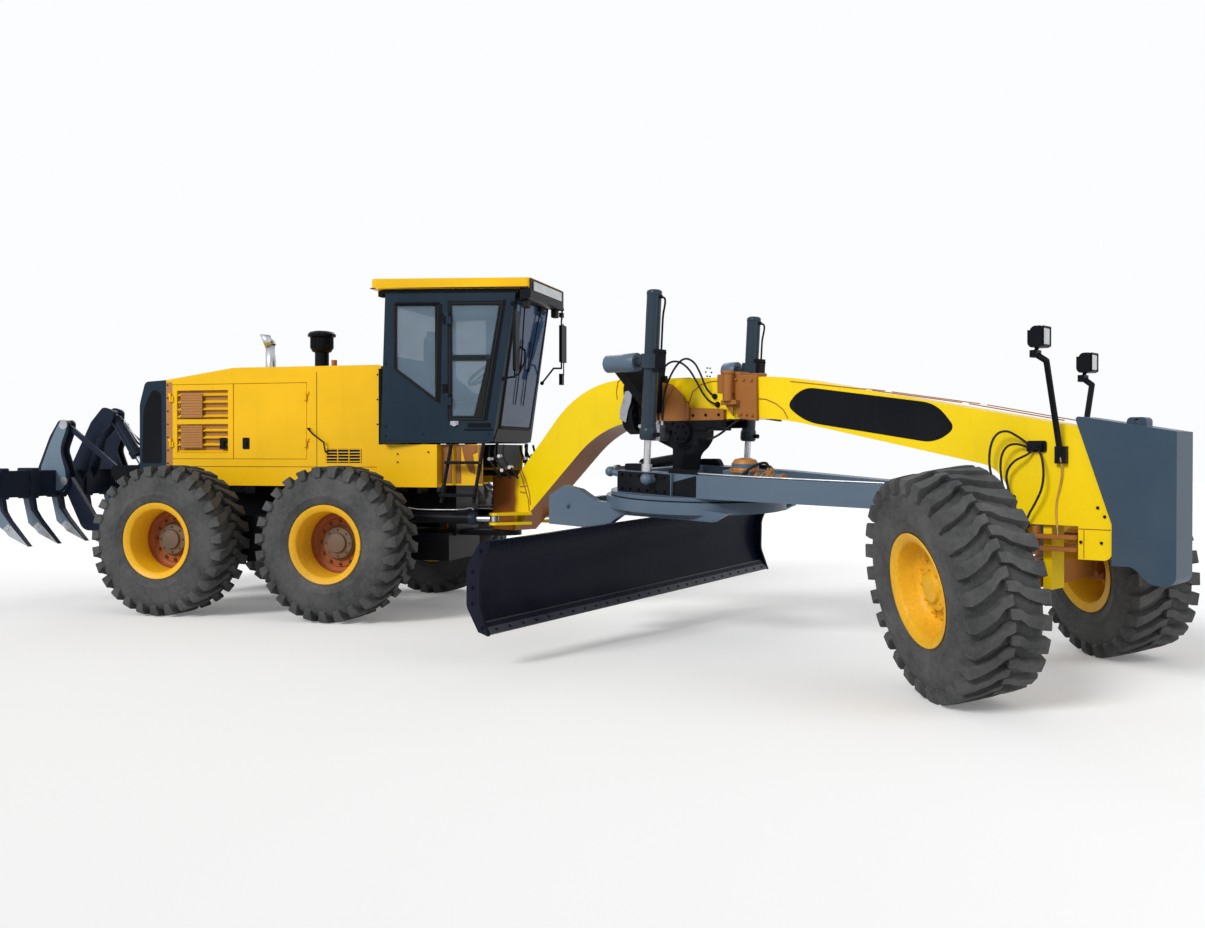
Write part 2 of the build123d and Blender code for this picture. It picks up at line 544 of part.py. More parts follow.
# Front frame: gooseneck with hinge foot and nose, front block, lamps
neck_outline = [(0, FOOT_BOTTOM), (300, FOOT_BOTTOM), (1550, 1910, 1250), (3500, 1900, 2500),
                (5380, 1510, 250), (5583, 1110), (5960, 1110), (5960, 880), (6190, 880, 60), (6190, 1130),
                (5960, 1795), (3520, 2246, 2500), (1260, 2300, 1250), (330, FOOT_TOP), (0, FOOT_TOP)]
neck = plate(neck_outline, "y", -NECK_HALF_WIDTH, NECK_HALF_WIDTH)
neck -= block((-1, 70), (-400, 400), (0, 3000))
neck += block((0, 80), (-130, 130), (FOOT_BOTTOM, FOOT_TOP)) + bar((0, 0, FOOT_BOTTOM), (0, 0, FOOT_TOP), 130)
neck += bar((0, 0, fork_low), (0, 0, fork_high), HINGE_RADIUS)
eye_x, eye_y, eye_z = ARTIC_EYE
for low in (eye_z - EAR_GAP - EAR, eye_z + EAR_GAP):
    ear = [(eye_x - 60, -eye_y - 60, 50), (eye_x + 60, -eye_y - 60, 50), (eye_x + 220, -NECK_HALF_WIDTH + 1),
           (eye_x + 20, -NECK_HALF_WIDTH + 1)]
    neck += both(plate(ear, "z", low, low + EAR))
for hanger_x, hanger_top in ((AXLE_X - 115, 1300), (AXLE_X + 115, 1150)):
    neck += block((hanger_x - 30, hanger_x + 30), (-110, 110), (650, hanger_top))
neck += both(block((BALL_X - 75, BALL_X + 230), (-132, -102), (BALL_Z - 75, BALL_Z + 75)))
neck += bar((BALL_X, -132, BALL_Z), (BALL_X, 132, BALL_Z), BALL_PIN)

block_outline = [(5935, 1870, 20), (BLOCK_FRONT, 1755), (BLOCK_FRONT, 735, 70), (6440, 735, 120),
                 (6330, 850, 80), (6190 + SEAT, 850), (6190 + SEAT, 1130)]
front_block = plate(block_outline, "y", -BLOCK_HALF_WIDTH, BLOCK_HALF_WIDTH)
behind_face = [(5900, 1967.3), (5960, 1795), (6190, 1130), (6190, 800), (5900, 800)]
front_block -= Pos(SEAT, 0, 0) * plate(behind_face, "y", -400, 400)
tow_x, tow_z = TOW_PIN
lug_outline = [(tow_x - 65, tow_z - 50), (tow_x - 65, tow_z + 28, 30), (tow_x + 65, tow_z + 28, 30),
               (tow_x + 65, tow_z - 50)]
front_block += plate(lug_outline, "y", -60, 60) - bar((tow_x, -61, tow_z), (tow_x, 61, tow_z), 18)
parts["front_block"] = FRONT * front_block

lamps = []
for side, lamp_z in ((RIGHT, 2330), (LEFT, 2200)):
    elbow = (5840, -410, lamp_z - 90)
    post = bar((5850, -NECK_HALF_WIDTH - 22, 1560), elbow, LAMP_POST) + Pos(*elbow) * Sphere(LAMP_POST)
    post += bar(elbow, (5770, -425, lamp_z - 40), LAMP_POST)
    post += block((5745, 5795), (-465, -385), (lamp_z - 65, lamp_z - 15))
    post += bar((5770, -425, lamp_z - 30), (5790, -430, lamp_z + 20), 14)
    casing = [(5745, lamp_z + 20, 15), (5765, lamp_z, 15), (5845, lamp_z, 15), (5845, lamp_z + 145, 15),
              (5765, lamp_z + 145, 40)]
    post += plate(casing, "y", -500, -362)
    post += block((5810, 5890), (-NECK_HALF_WIDTH - 45, -NECK_HALF_WIDTH - SEAT), (1540, 1660))
    lamps.append(on_side(side, post))
parts["front_lamps"] = FRONT * apart(*lamps)

# Saddle on the gooseneck with sockets for the lift cylinders' shafts and ears for the shift cylinder
lift_x, lift_y, lift_z = LIFT_PIN
shift_stud = swung(SHIFT_STUD, DRAWBAR)
shift_x = shift_stud.X
shift_y, shift_z = SHIFT_PIN
cheek_outer = NECK_HALF_WIDTH + 40
cheek_inner = NECK_HALF_WIDTH + SEAT
yoke_x = (YOKE_REAR, YOKE_REAR + YOKE_THICKNESS)
saddle_x = (YOKE_REAR, YOKE_FRONT)
cheek_x = (YOKE_FRONT - 230, YOKE_FRONT)
cheek_y = (-cheek_outer, -cheek_inner)
across = (-cheek_outer, cheek_outer)
yoke = [(-cheek_inner, 1790), (-cheek_outer - 70, 1850, 60), (-cheek_outer - 95, 1990, 30),
        (-cheek_outer - 50, 2070, 30), (-cheek_outer - 60, 2230, 30), (-cheek_inner, 2345)]
saddle = both(plate(yoke, "x", *yoke_x))
saddle += block(yoke_x, across, (1790, 1850)) + block(yoke_x, across, (2300 + SEAT, 2345))
saddle += both(block(saddle_x, cheek_y, (1850, 1960)) + block(cheek_x, cheek_y, (1850, 2345)))
saddle += block(saddle_x, across, (1810, 1865)) + block(cheek_x, across, (2300 + SEAT, 2345))
post_x, post_y = YOKE_FRONT - 290, -cheek_outer - 40
saddle += both(bar((post_x, post_y, 2130), (post_x, post_y, 2390), 50))
saddle += both(block((YOKE_FRONT - 310, YOKE_FRONT - 200), (-cheek_outer - 60, -cheek_inner), (2100, 2160)))
casting = [(2080, 1820), (2760, 1820), (2740, 1710, 60), (2610, 1640, 60), (2580, 1440, 30), (2330, 1440, 30),
           (2310, 1640, 60), (2150, 1710, 60)]
saddle += plate(casting, "y", -130, 130)
arm = [(-lift_y - 60, lift_z - 45), (-lift_y - 50, lift_z + 45), (-cheek_outer + 10, lift_z - 45),
       (-cheek_outer + 10, lift_z - 325)]
saddle += both(plate(arm, "x", YOKE_REAR, 2290))
saddle += both(bar((2120, -lift_y, lift_z), (lift_x - 150, -lift_y, lift_z), SOCKET_RADIUS))
saddle -= both(bar((lift_x - 310, -lift_y, lift_z), (lift_x, -lift_y, lift_z), LIFT_SHAFT + RUN))
ear = [(cheek_outer - 10, 1795), (cheek_outer - 10, 2000), (shift_y + 60, shift_z + 110, 60),
       (shift_y + 60, shift_z - 60, 50), (shift_y - 55, shift_z - 60, 40), (shift_y - 65, shift_z + 100, 60)]
ears_x = (shift_x - EAR_GAP - EAR, shift_x + EAR_GAP + EAR)
saddle += plate(ear, "x", ears_x[0], ears_x[0] + EAR) + plate(ear, "x", ears_x[1] - EAR, ears_x[1])
saddle += bar((ears_x[0], shift_y, shift_z), (ears_x[1], shift_y, shift_z), RIPPER_PIN)
parts["saddle"] = FRONT * saddle

# Front axle, lean arms, knuckles and front wheels; the axle rolls a little so that both tyres touch the
# ground
reach = LEAN_ARM + KINGPIN_INSET * cos(radians(STEER))
AXLE_ROLL = degrees(asin(reach / PIVOT_Y * sin(radians(LEAN))))
leaned = Rot(LEAN, 0, 0) * Rot(0, 0, -STEER)
AXLE_Z = -min((leaned * shape).bounding_box().min.Z for shape in (rest_tyre, mirrored(rest_tyre)))
AXLE = FRONT * Pos(AXLE_X, 0, AXLE_Z) * Rot(-AXLE_ROLL, 0, 0)
beam = [(0, -110), (-320, -95), (-PIVOT_Y + 130, -60), (-PIVOT_Y + 130, 60), (-320, 80), (0, 95)]
tongue = block((-28, 28), (-PIVOT_Y, -PIVOT_Y + 140), (-58, 58))
tongue += bar((-28, -PIVOT_Y, 0), (28, -PIVOT_Y, 0), 58)
tongue += bar((-AXLE_HALF, -PIVOT_Y, 0), (AXLE_HALF, -PIVOT_Y, 0), LEAN_PIN)
front_axle = both(plate(beam, "x", -AXLE_HALF, AXLE_HALF) + tongue)
front_axle -= bar((-AXLE_HALF - 1, 0, 0), (AXLE_HALF + 1, 0, 0), PIVOT_PIN + RUN)
parts["front_axle"] = AXLE * front_axle
neck += bar((AXLE_X - 145, 0, AXLE_Z), (AXLE_X + 145, 0, AXLE_Z), PIVOT_PIN)
parts["gooseneck"] = FRONT * neck

lean_arm = block((-64, 64), (-LEAN_ARM + 70, 0), (-58, 58)) + bar((-64, 0, 0), (64, 0, 0), 58)
lean_arm -= block((-34, 34), (-LEAN_ARM + 105, 60), (-100, 100))
lean_arm -= bar((-65, 0, 0), (65, 0, 0), LEAN_PIN + RUN)
lean_arm += block((-64, 64), (-LEAN_ARM + 70, -LEAN_ARM + 105), (-118, 118))
for low in (-118, 84):
    lean_arm += block((-45, 45), (-LEAN_ARM, -LEAN_ARM + 80), (low, low + 34))
    lean_arm += bar((0, -LEAN_ARM, low), (0, -LEAN_ARM, low + 34), 45)
lean_arm += bar((0, -LEAN_ARM, -118), (0, -LEAN_ARM, 118), KINGPIN_RADIUS)
knuckle = bar((0, 0, -76), (0, 0, 76), SPINDLE_RADIUS)
knuckle += bar((0, 0, 0), (0, -KINGPIN_INSET + FRONT_DISC + 25, 0), SPINDLE_RADIUS)
knuckle -= bar((0, 0, -77), (0, 0, 77), KINGPIN_RADIUS + RUN)
front_rim = rim(FRONT_DISC, FRONT_HUB_END, FRONT_DISC + 20)
for side_name, side in SIDES.items():
    lean_place = AXLE * Pos(0, side * PIVOT_Y, 0) * Rot(LEAN + AXLE_ROLL, 0, 0)
    knuckle_place = lean_place * Pos(0, side * LEAN_ARM, 0) * Rot(0, 0, -STEER)
    wheel_place = knuckle_place * Pos(0, side * KINGPIN_INSET, 0)
    parts[f"lean_arm_{side_name}"] = lean_place * on_side(side, lean_arm)
    parts[f"knuckle_{side_name}"] = knuckle_place * on_side(side, knuckle)
    parts[f"front_tyre_{side_name}"] = wheel_place * on_side(side, rest_tyre)
    parts[f"front_rim_{side_name}"] = wheel_place * on_side(side, front_rim)

# Drawbar on its ball: the ball's cross block turns on a pin across the nose, the fork turns on the
# block's stubs
ball = bar((0, -94, 0), (0, 94, 0), 60) + bar((0, 0, -120), (0, 0, 120), STUB)
parts["drawbar_ball"] = BALL * (ball - bar((0, -95, 0), (0, 95, 0), BALL_PIN + RUN))
fork = None
for low in (-105, 72):
    leaf = block((-260, 0), (-75, 75), (low, low + 33)) + bar((0, 0, low), (0, 0, low + 33), 75)
    leaf -= bar((0, 0, low - 1), (0, 0, low + 34), STUB + RUN)
    fork = leaf if fork is None else fork + leaf
beam = [(-220, 0), (-220, -80), (-2230, -BEAM_OUTER), (-DRAWBAR_REAR, -BEAM_OUTER),
        (-DRAWBAR_REAR, -BEAM_INNER), (-2260, -BEAM_INNER), (-480, 0)]
drawbar = both(plate(beam, "z", -BEAM_HALF_HEIGHT, BEAM_HALF_HEIGHT))
beam_z = (-BEAM_HALF_HEIGHT, BEAM_HALF_HEIGHT)
drawbar += block((-DRAWBAR_REAR, -DRAWBAR_REAR + 100), (-BEAM_OUTER, BEAM_OUTER), beam_z)
ring = (-CIRCLE_BACK, 0, -BEAM_HALF_HEIGHT - 30)
drawbar += bar(ring, (-CIRCLE_BACK, 0, -BEAM_HALF_HEIGHT), 760)
drawbar -= bar((-CIRCLE_BACK, 0, ring[2] - 1), (-CIRCLE_BACK, 0, -BEAM_HALF_HEIGHT + 1), 560)
for angle in (45, 135, 225, 315):
    pad = Pos(-CIRCLE_BACK, 0, 0) * Rot(0, 0, angle) * Pos((CIRCLE_BORE + 760) / 2, 0, 0)
    drawbar += pad * bar((0, 0, CIRCLE_TOP + SEAT), (0, 0, -BEAM_HALF_HEIGHT), 55)
stud_x, stud_y, stud_z = LIFT_STUD
drawbar += both(bar((stud_x, -BEAM_OUTER + 60, stud_z), (stud_x, -stud_y, stud_z), 40))
drawbar += both(Pos(stud_x, -stud_y, stud_z) * Sphere(STUD))
stud_x, stud_y, stud_z = SHIFT_STUD
drawbar += bar((-DRAWBAR_REAR + 20, stud_y + 30, 40), (stud_x, stud_y, stud_z), 28)
drawbar += Pos(stud_x, stud_y, stud_z) * Sphere(STUD - 5)
box_x = (-DRAWBAR_REAR, -DRAWBAR_REAR + 610)
drawbar += both(block(box_x, (-BEAM_OUTER - 35, -BEAM_OUTER + 10), beam_z))
drawbar += block((-2300, -1800), (-450, 450), (-BEAM_HALF_HEIGHT, -BEAM_HALF_HEIGHT + 30))
drawbar += block((-2290, -2010), (-330, -80), (-BEAM_HALF_HEIGHT, 130))
drawbar += bar((-2150, -205, 120), (-2150, -205, 190), 115)
drawbar += bar((-2020, -205, 60), (-1960, -205, 60), 75) + bar((-1970, -205, 60), (-1760, -205, 60), 58)
parts["drawbar"] = DRAWBAR * drawbar + BALL * fork

# Circle with the two arms that carry the blade
CIRCLE = DRAWBAR * Pos(-CIRCLE_BACK, 0, 0) * Rot(0, 0, CIRCLE_TURN)
circle_bottom = CIRCLE_TOP - CIRCLE_DEPTH
circle = bar((0, 0, circle_bottom), (0, 0, CIRCLE_TOP), CIRCLE_RADIUS)
circle -= bar((0, 0, circle_bottom - 1), (0, 0, CIRCLE_TOP + 1), CIRCLE_BORE)
hinge_x, hinge_z = TIP_HINGE
arm = [(705, -205), (560, -285), (-360, -290), (-495, -380, 60), (-530, -520), (hinge_x + 75, hinge_z + 60),
       (hinge_x + 75, hinge_z - 75, 70), (hinge_x - 75, hinge_z - 75, 70), (hinge_x - 75, hinge_z + 60),
       (-760, -430, 60), (-1170, -430), (-1170, -170), (-1000, -70), (-830, -95), (-640, -190), (450, -190)]
arm_low = -ARM_Y - ARM_THICKNESS / 2
arm_plate = plate(arm, "y", arm_low, arm_low + ARM_THICKNESS)
arm_plate -= bar((hinge_x, -1000, hinge_z), (hinge_x, 0, hinge_z), TIP_PIN + RUN)
circle += both(arm_plate) + block((-1150, -1090), (-ARM_Y, ARM_Y), (-380, -220))
parts["circle"] = CIRCLE * circle

# Blade on two rails along its back; the carrier's shoes hold the rails, and the carrier tips on the
# arms' pins
BLADE = CIRCLE * Pos(BLADE_PLACE[0], -BLADE_SHIFT, BLADE_PLACE[1])
CARRIER = CIRCLE * Pos(BLADE_PLACE[0], 0, BLADE_PLACE[1])
arc_x = (BLADE_RADIUS ** 2 - (BLADE_HEIGHT / 2) ** 2) ** 0.5
half_length = BLADE_LENGTH / 2
blade = bar((arc_x, -half_length, 0), (arc_x, half_length, 0), BLADE_RADIUS + BLADE_PLATE)
blade -= bar((arc_x, -half_length - 1, 0), (arc_x, half_length + 1, 0), BLADE_RADIUS)
blade &= block((-400, BLADE_PLATE), (-half_length, half_length), (-BLADE_HEIGHT / 2 + 60, BLADE_HEIGHT / 2))
half_height = BLADE_HEIGHT / 2
edge = [(-62, 75 - half_height), (-32, 90 - half_height), (22, 8 - half_height), (8, -half_height)]
blade += plate(edge, "y", -half_length, half_length)
rail_y = (-RAIL_LENGTH / 2, RAIL_LENGTH / 2)
for rail_z in (-RAIL_Z, RAIL_Z):
    blade += block((-220, -132), rail_y, (rail_z - RAIL_SIZE / 2, rail_z + RAIL_SIZE / 2))
end_plate = [(-190, -150, 100), (-70, 20 - half_height), (28, -half_height), (-60, -140, 160),
             (-60, 140, 160), (30, half_height), (-70, half_height - 20), (-190, 150, 100)]
blade += both(plate(end_plate, "y", -half_length, -half_length + 25))
parts["blade"] = BLADE * blade

pin_x, pin_z = TIP_HINGE[0] - BLADE_PLACE[0], TIP_HINGE[1] - BLADE_PLACE[1]
shoe = [(-175, 275), (-310, 275, 40), (-350, 60, 100), (pin_x - 60, pin_z + 30, 50),
        (pin_x - 55, pin_z - 55, 50), (-310, -285, 40), (-175, -275)]
bracket = plate(shoe, "y", -530, -450)
for rail_z in (-RAIL_Z, RAIL_Z):
    hole = RAIL_SIZE / 2 + SEAT
    bracket -= block((-220 - GAP, 0), (-600, -400), (rail_z - hole, rail_z + hole))
bracket -= bar((arc_x, -600, 0), (arc_x, -400, 0), BLADE_RADIUS + BLADE_PLATE + 12)
carrier = both(bracket) + bar((pin_x, -ARM_Y + 50, pin_z), (pin_x, ARM_Y - 50, pin_z), 55)
carrier += bar((pin_x, -ARM_Y - 40, pin_z), (pin_x, ARM_Y + 40, pin_z), TIP_PIN)
parts["blade_carrier"] = CARRIER * carrier


def ram(start, eye, pin, barrel_start, barrel_end, barrel_radius, rod_radius, rod_length, rod_stop):
    """Barrel and rod on the line from start to eye, with X along the pin: drawn as if start were the origin.

    The barrel reaches from barrel_start to barrel_end along the line; the rod ends rod_stop before the eye.
    """
    line = Vector(*eye) - Vector(*start)
    length = line.length
    place = Plane(origin=Vector(*start), x_dir=Vector(*pin), z_dir=line).location
    barrel = bar((0, 0, barrel_start), (0, 0, barrel_end), barrel_radius)
    barrel += bar((0, 0, barrel_end - 70), (0, 0, barrel_end - 10), barrel_radius + 8)
    inner_end = length - rod_stop - rod_length
    barrel -= bar((0, 0, barrel_start + 30), (0, 0, barrel_end + 1), rod_radius + RUN)
    rod = bar((0, 0, inner_end), (0, 0, length - rod_stop), rod_radius)
    return place, length, barrel, rod


def eye_ring(height, half_width, radius, hole):
    """Ring round the local X axis at a height along the cylinder's line."""
    ring = bar((-half_width, 0, height), (half_width, 0, height), radius)
    return ring - bar((-half_width - 1, 0, height), (half_width + 1, 0, height), hole)


def eyed_barrel(barrel, barrel_start):
    """Barrel with the ring it hangs by at its origin."""
    hole = RIPPER_PIN + RUN
    link = block((-26, 26), (-42, 42), (0, barrel_start + 5)) - bar((-27, 0, 0), (27, 0, 0), hole)
    return barrel + link + eye_ring(0, 26, 48, hole)


# Articulation cylinders; each is as long at rest as the turned frame makes it
for side_name, side in SIDES.items():
    pin_x, pin_y, pin_z = ARTIC_PIN
    start = (pin_x, side * pin_y, pin_z)
    eye = (FRONT * Pos(eye_x, side * eye_y, eye_z)).position
    place, length, barrel, rod = ram(start, eye, (0, 0, 1), 75, 900, 55, 28, 930, 40)
    parts[f"articulation_barrel_{side_name}"] = place * eyed_barrel(barrel, 75)
    parts[f"articulation_rod_{side_name}"] = place * (rod + eye_ring(length, 26, 50, RIPPER_PIN))

# Lift cylinders hang in the saddle's sockets; their rods end in caps just above the drawbar's studs
for side_name, side in SIDES.items():
    start = (lift_x, side * lift_y, lift_z)
    stud_x, stud_y, stud_z = LIFT_STUD
    stud = swung((stud_x, side * stud_y, stud_z), DRAWBAR)
    top = -LIFT_ABOVE[side_name]
    place, length, barrel, rod = ram(start, stud, (1, 0, 0), top, LIFT_BELOW, LIFT_BARREL, LIFT_ROD, 1020,
                                     STUD + SOCKET_GAP)
    collar = bar((0, 0, -60), (0, 0, 60), LIFT_COLLAR) - bar((0, 0, -61), (0, 0, 61), LIFT_BARREL - 5)
    shaft = bar(start, (lift_x - 300, side * lift_y, lift_z), LIFT_SHAFT)
    shaft -= place * bar((0, 0, -200), (0, 0, 200), LIFT_BARREL - 5)
    cap = bar((0, 0, length - STUD - SOCKET_GAP - 60), (0, 0, length - STUD - SOCKET_GAP), 46)
    parts[f"lift_barrel_{side_name}"] = FRONT * (place * (barrel + collar) + shaft)
    parts[f"lift_rod_{side_name}"] = FRONT * place * (rod + cap)

# Shift cylinder across the machine from the saddle's left ears to the drawbar's right stud
start = (shift_x, shift_y, shift_z)
place, length, barrel, rod = ram(start, shift_stud, (1, 0, 0), 75, 680, 55, 30, 655, STUD - 5 + SOCKET_GAP)
cap_end = length - STUD + 5 - SOCKET_GAP
parts["shift_barrel"] = FRONT * place * eyed_barrel(barrel, 75)
parts["shift_rod"] = FRONT * place * (rod + bar((0, 0, cap_end - 55), (0, 0, cap_end), 48))

# Ripper: lower arms, upper links, beam with shanks, and the cylinder from the beam's middle ears to the
# frame
lower_x, lower_z = RIPPER_LOWER
upper_x, upper_z = RIPPER_UPPER
reach_x, reach_z = RIPPER_REACH
arm = [(-5040, 1310, 50), (-4760, 760, 130), (-4250, 740, 55), (-4250, 860, 55), (-4600, 900, 100),
       (-4915, 1340, 50), (-4960, 1370, 50)]
ripper_arm = plate(arm, "y", -RIPPER_ARM_Y - 30, -RIPPER_ARM_Y + 30)
for pin_x, pin_z in (RIPPER_LOWER, (lower_x + reach_x, lower_z + reach_z)):
    ripper_arm -= bar((pin_x, -600, pin_z), (pin_x, 0, pin_z), RIPPER_PIN + RUN)
parts["ripper_arms"] = both(ripper_arm) + bar((-4680, -RIPPER_ARM_Y, 850), (-4680, RIPPER_ARM_Y, 850), 55)

link_low = -RIPPER_ARM_Y - 15
link_line = Vector(reach_x, 0, reach_z)
link = Plane(origin=(upper_x, -RIPPER_ARM_Y, upper_z), x_dir=link_line, z_dir=(0, -1, 0)).location
link_form = Box(link_line.length, 56, 30, align=(Align.MIN, Align.CENTER, Align.CENTER))
for pin_x, pin_z in (RIPPER_UPPER, (upper_x + reach_x, upper_z + reach_z)):
    ring = bar((pin_x, link_low, pin_z), (pin_x, link_low + 30, pin_z), 46)
    link_form = link_form + link.inverse() * ring
    link_form -= link.inverse() * bar((pin_x, -600, pin_z), (pin_x, 0, pin_z), RIPPER_PIN + RUN)
link_form = link * link_form
parts["ripper_links"] = apart(link_form, mirrored(link_form))

beam_x = lower_x + reach_x - 180
top_x, top_z = upper_x + reach_x, upper_z + reach_z
beam_y = (-RIPPER_BEAM_LENGTH / 2, RIPPER_BEAM_LENGTH / 2)
ripper_beam = block((beam_x - 85, beam_x + 85), beam_y, (1140, 1420))
beam_ear = [(-5170, 1160), (-5320, 1430, 60), (-5160, 1790, 200), (top_x - 60, top_z + 50, 55),
            (top_x + 55, top_z + 50, 50), (top_x + 60, top_z - 60, 50), (-5010, 1640, 120), (-4915, 1400, 60),
            (-4915, 1240, 55), (-5000, 1180)]
ripper_beam += ear_pairs(beam_ear, [(top_x, top_z), (lower_x + reach_x, lower_z + reach_z)])
head_x, head_z = RIPPER_HEAD
head_ear = [(-5200, 1300), (-5235, 1450, 60), (-4960, 1960, 90), (-4800, 2130, 60), (-4660, 2090, 55),
            (-4670, 1975, 50), (-4900, 1760, 90), (-5000, 1420, 60), (-5080, 1300)]
ripper_beam += both(plate(head_ear, "y", -101, -75))
ripper_beam += bar((head_x, -101, head_z), (head_x, 101, head_z), RIPPER_PIN)
shank = [(-5190, 1200), (-5085, 1200), (-5050, 1000, 80), (-4985, 905, 60), (-4745, 640), (-4990, 760, 80),
         (-5125, 850, 100), (-5180, 1080)]
for step in range(SHANKS):
    shank_y = (step - (SHANKS - 1) / 2) * SHANK_PITCH
    ripper_beam += plate(shank, "y", shank_y - 28, shank_y + 28)
parts["ripper_beam"] = ripper_beam

head, foot = (head_x, 0, head_z), (RIPPER_FOOT[0], 0, RIPPER_FOOT[1])
place, length, barrel, rod = ram(head, foot, (0, 1, 0), 60, 575, 62, 35, 510, 40)
parts["ripper_cylinder"] = place * eyed_barrel(barrel, 60)
parts["ripper_rod"] = place * (rod + eye_ring(length, 26, 50, RIPPER_PIN))

# Origin to the middle of the footprint, on the ground
boxes = [shape.bounding_box() for shape in parts.values()]
middle_x = (min(box.min.X for box in boxes) + max(box.max.X for box in boxes)) / 2
middle_y = (min(box.min.Y for box in boxes) + max(box.max.Y for box in boxes)) / 2
HOME = Pos(-middle_x, -middle_y, -min(box.min.Z for box in boxes))

os.makedirs("parts", exist_ok=True)
for name, shape in parts.items():
    export_step(HOME * shape, f"parts/{name}.step")
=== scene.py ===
"""Dresses the motor grader: materials, finer tyres and rims, glass, mirrors, hoses and small fittings."""
from math import cos, pi, radians, sin

import bmesh
import bpy
from mathutils import Matrix, Vector
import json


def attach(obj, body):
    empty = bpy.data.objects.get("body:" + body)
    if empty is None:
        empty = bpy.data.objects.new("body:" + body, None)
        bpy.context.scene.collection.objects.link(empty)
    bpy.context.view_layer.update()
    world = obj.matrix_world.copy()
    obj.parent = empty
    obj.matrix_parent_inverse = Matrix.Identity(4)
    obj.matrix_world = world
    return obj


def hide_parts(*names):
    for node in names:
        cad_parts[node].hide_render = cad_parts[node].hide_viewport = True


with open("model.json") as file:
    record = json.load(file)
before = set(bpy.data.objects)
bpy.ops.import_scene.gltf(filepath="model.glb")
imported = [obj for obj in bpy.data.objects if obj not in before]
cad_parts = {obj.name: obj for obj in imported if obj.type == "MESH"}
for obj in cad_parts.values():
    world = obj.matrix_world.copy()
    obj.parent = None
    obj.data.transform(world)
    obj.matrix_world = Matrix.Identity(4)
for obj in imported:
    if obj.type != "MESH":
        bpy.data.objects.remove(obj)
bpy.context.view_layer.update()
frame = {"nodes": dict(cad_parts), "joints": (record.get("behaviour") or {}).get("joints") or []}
JOINTS = {joint["name"]: joint for joint in frame["joints"]}
PIVOT = Vector(JOINTS["articulation"]["pos_m"])
REAR = Matrix.Translation((PIVOT.x, PIVOT.y, 0))
FRONT = REAR @ Matrix.Rotation(radians(-27), 4, "Z")
SIDES = {"right": -1, "left": 1}


# Node groups shared by the materials
def new_group(name, inputs, outputs):
    """Empty shader node group with named sockets."""
    tree = bpy.data.node_groups.new(name, "ShaderNodeTree")
    for socket, kind, value in inputs:
        made = tree.interface.new_socket(socket, in_out="INPUT", socket_type="NodeSocket" + kind)
        made.default_value = value
    for socket, kind in outputs:
        tree.interface.new_socket(socket, in_out="OUTPUT", socket_type="NodeSocket" + kind)
    return tree, tree.nodes.new("NodeGroupInput"), tree.nodes.new("NodeGroupOutput")


def feed(tree, socket, value):
    """Sets a socket to a number or colour, or links another socket to it."""
    if isinstance(value, (int, float, tuple)):
        socket.default_value = value
    else:
        tree.links.new(value, socket)


def noise(tree, vector, scale, detail=4.0, roughness=0.55):
    """Noise node fed by a vector socket."""
    node = tree.nodes.new("ShaderNodeTexNoise")
    node.inputs["Detail"].default_value = detail
    node.inputs["Roughness"].default_value = roughness
    tree.links.new(vector, node.inputs["Vector"])
    feed(tree, node.inputs["Scale"], scale)
    return node.outputs["Fac"]


def ramp(tree, value, low, high, out_low=0.0, out_high=1.0):
    """Clamped linear step of a value."""
    node = tree.nodes.new("ShaderNodeMapRange")
    tree.links.new(value, node.inputs["Value"])
    for socket, number in zip(("From Min", "From Max", "To Min", "To Max"), (low, high, out_low, out_high)):
        feed(tree, node.inputs[socket], number)
    return node.outputs["Result"]


def maths(tree, operation, a, b):
    """Math node on sockets or numbers."""
    node = tree.nodes.new("ShaderNodeMath")
    node.operation = operation
    feed(tree, node.inputs[0], a)
    feed(tree, node.inputs[1], b)
    return node.outputs[0]


def times(tree, a, b):
    """Product of two sockets or numbers."""
    return maths(tree, "MULTIPLY", a, b)


def plus(tree, a, b):
    """Sum of two sockets or numbers."""
    return maths(tree, "ADD", a, b)


def seen_rays(tree):
    """1 for the rays that are looked along, 0 for those that only light the object."""
    path = tree.nodes.new("ShaderNodeLightPath")
    seen = maths(tree, "MAXIMUM", path.outputs["Is Camera Ray"], path.outputs["Is Glossy Ray"])
    return maths(tree, "MAXIMUM", seen, path.outputs["Is Transmission Ray"])


def blend(tree, share, a, b):
    """Colour mix of two sockets or colours."""
    node = tree.nodes.new("ShaderNodeMix")
    node.data_type = "RGBA"
    tree.links.new(share, node.inputs["Factor"])
    feed(tree, node.inputs[6], a)
    feed(tree, node.inputs[7], b)
    return node.outputs[2]


def stretched(tree, scale):
    """Object-space coordinates scaled differently along each axis."""
    coordinates = tree.nodes.new("ShaderNodeTexCoord")
    mapping = tree.nodes.new("ShaderNodeMapping")
    mapping.inputs["Scale"].default_value = scale
    tree.links.new(coordinates.outputs["Object"], mapping.inputs["Vector"])
    return mapping.outputs["Vector"]


def bump(tree, height, strength, distance):
    """Bump node; returns its normal."""
    node = tree.nodes.new("ShaderNodeBump")
    node.inputs["Distance"].default_value = distance
    tree.links.new(height, node.inputs["Height"])
    feed(tree, node.inputs["Strength"], strength)
    return node.outputs["Normal"]


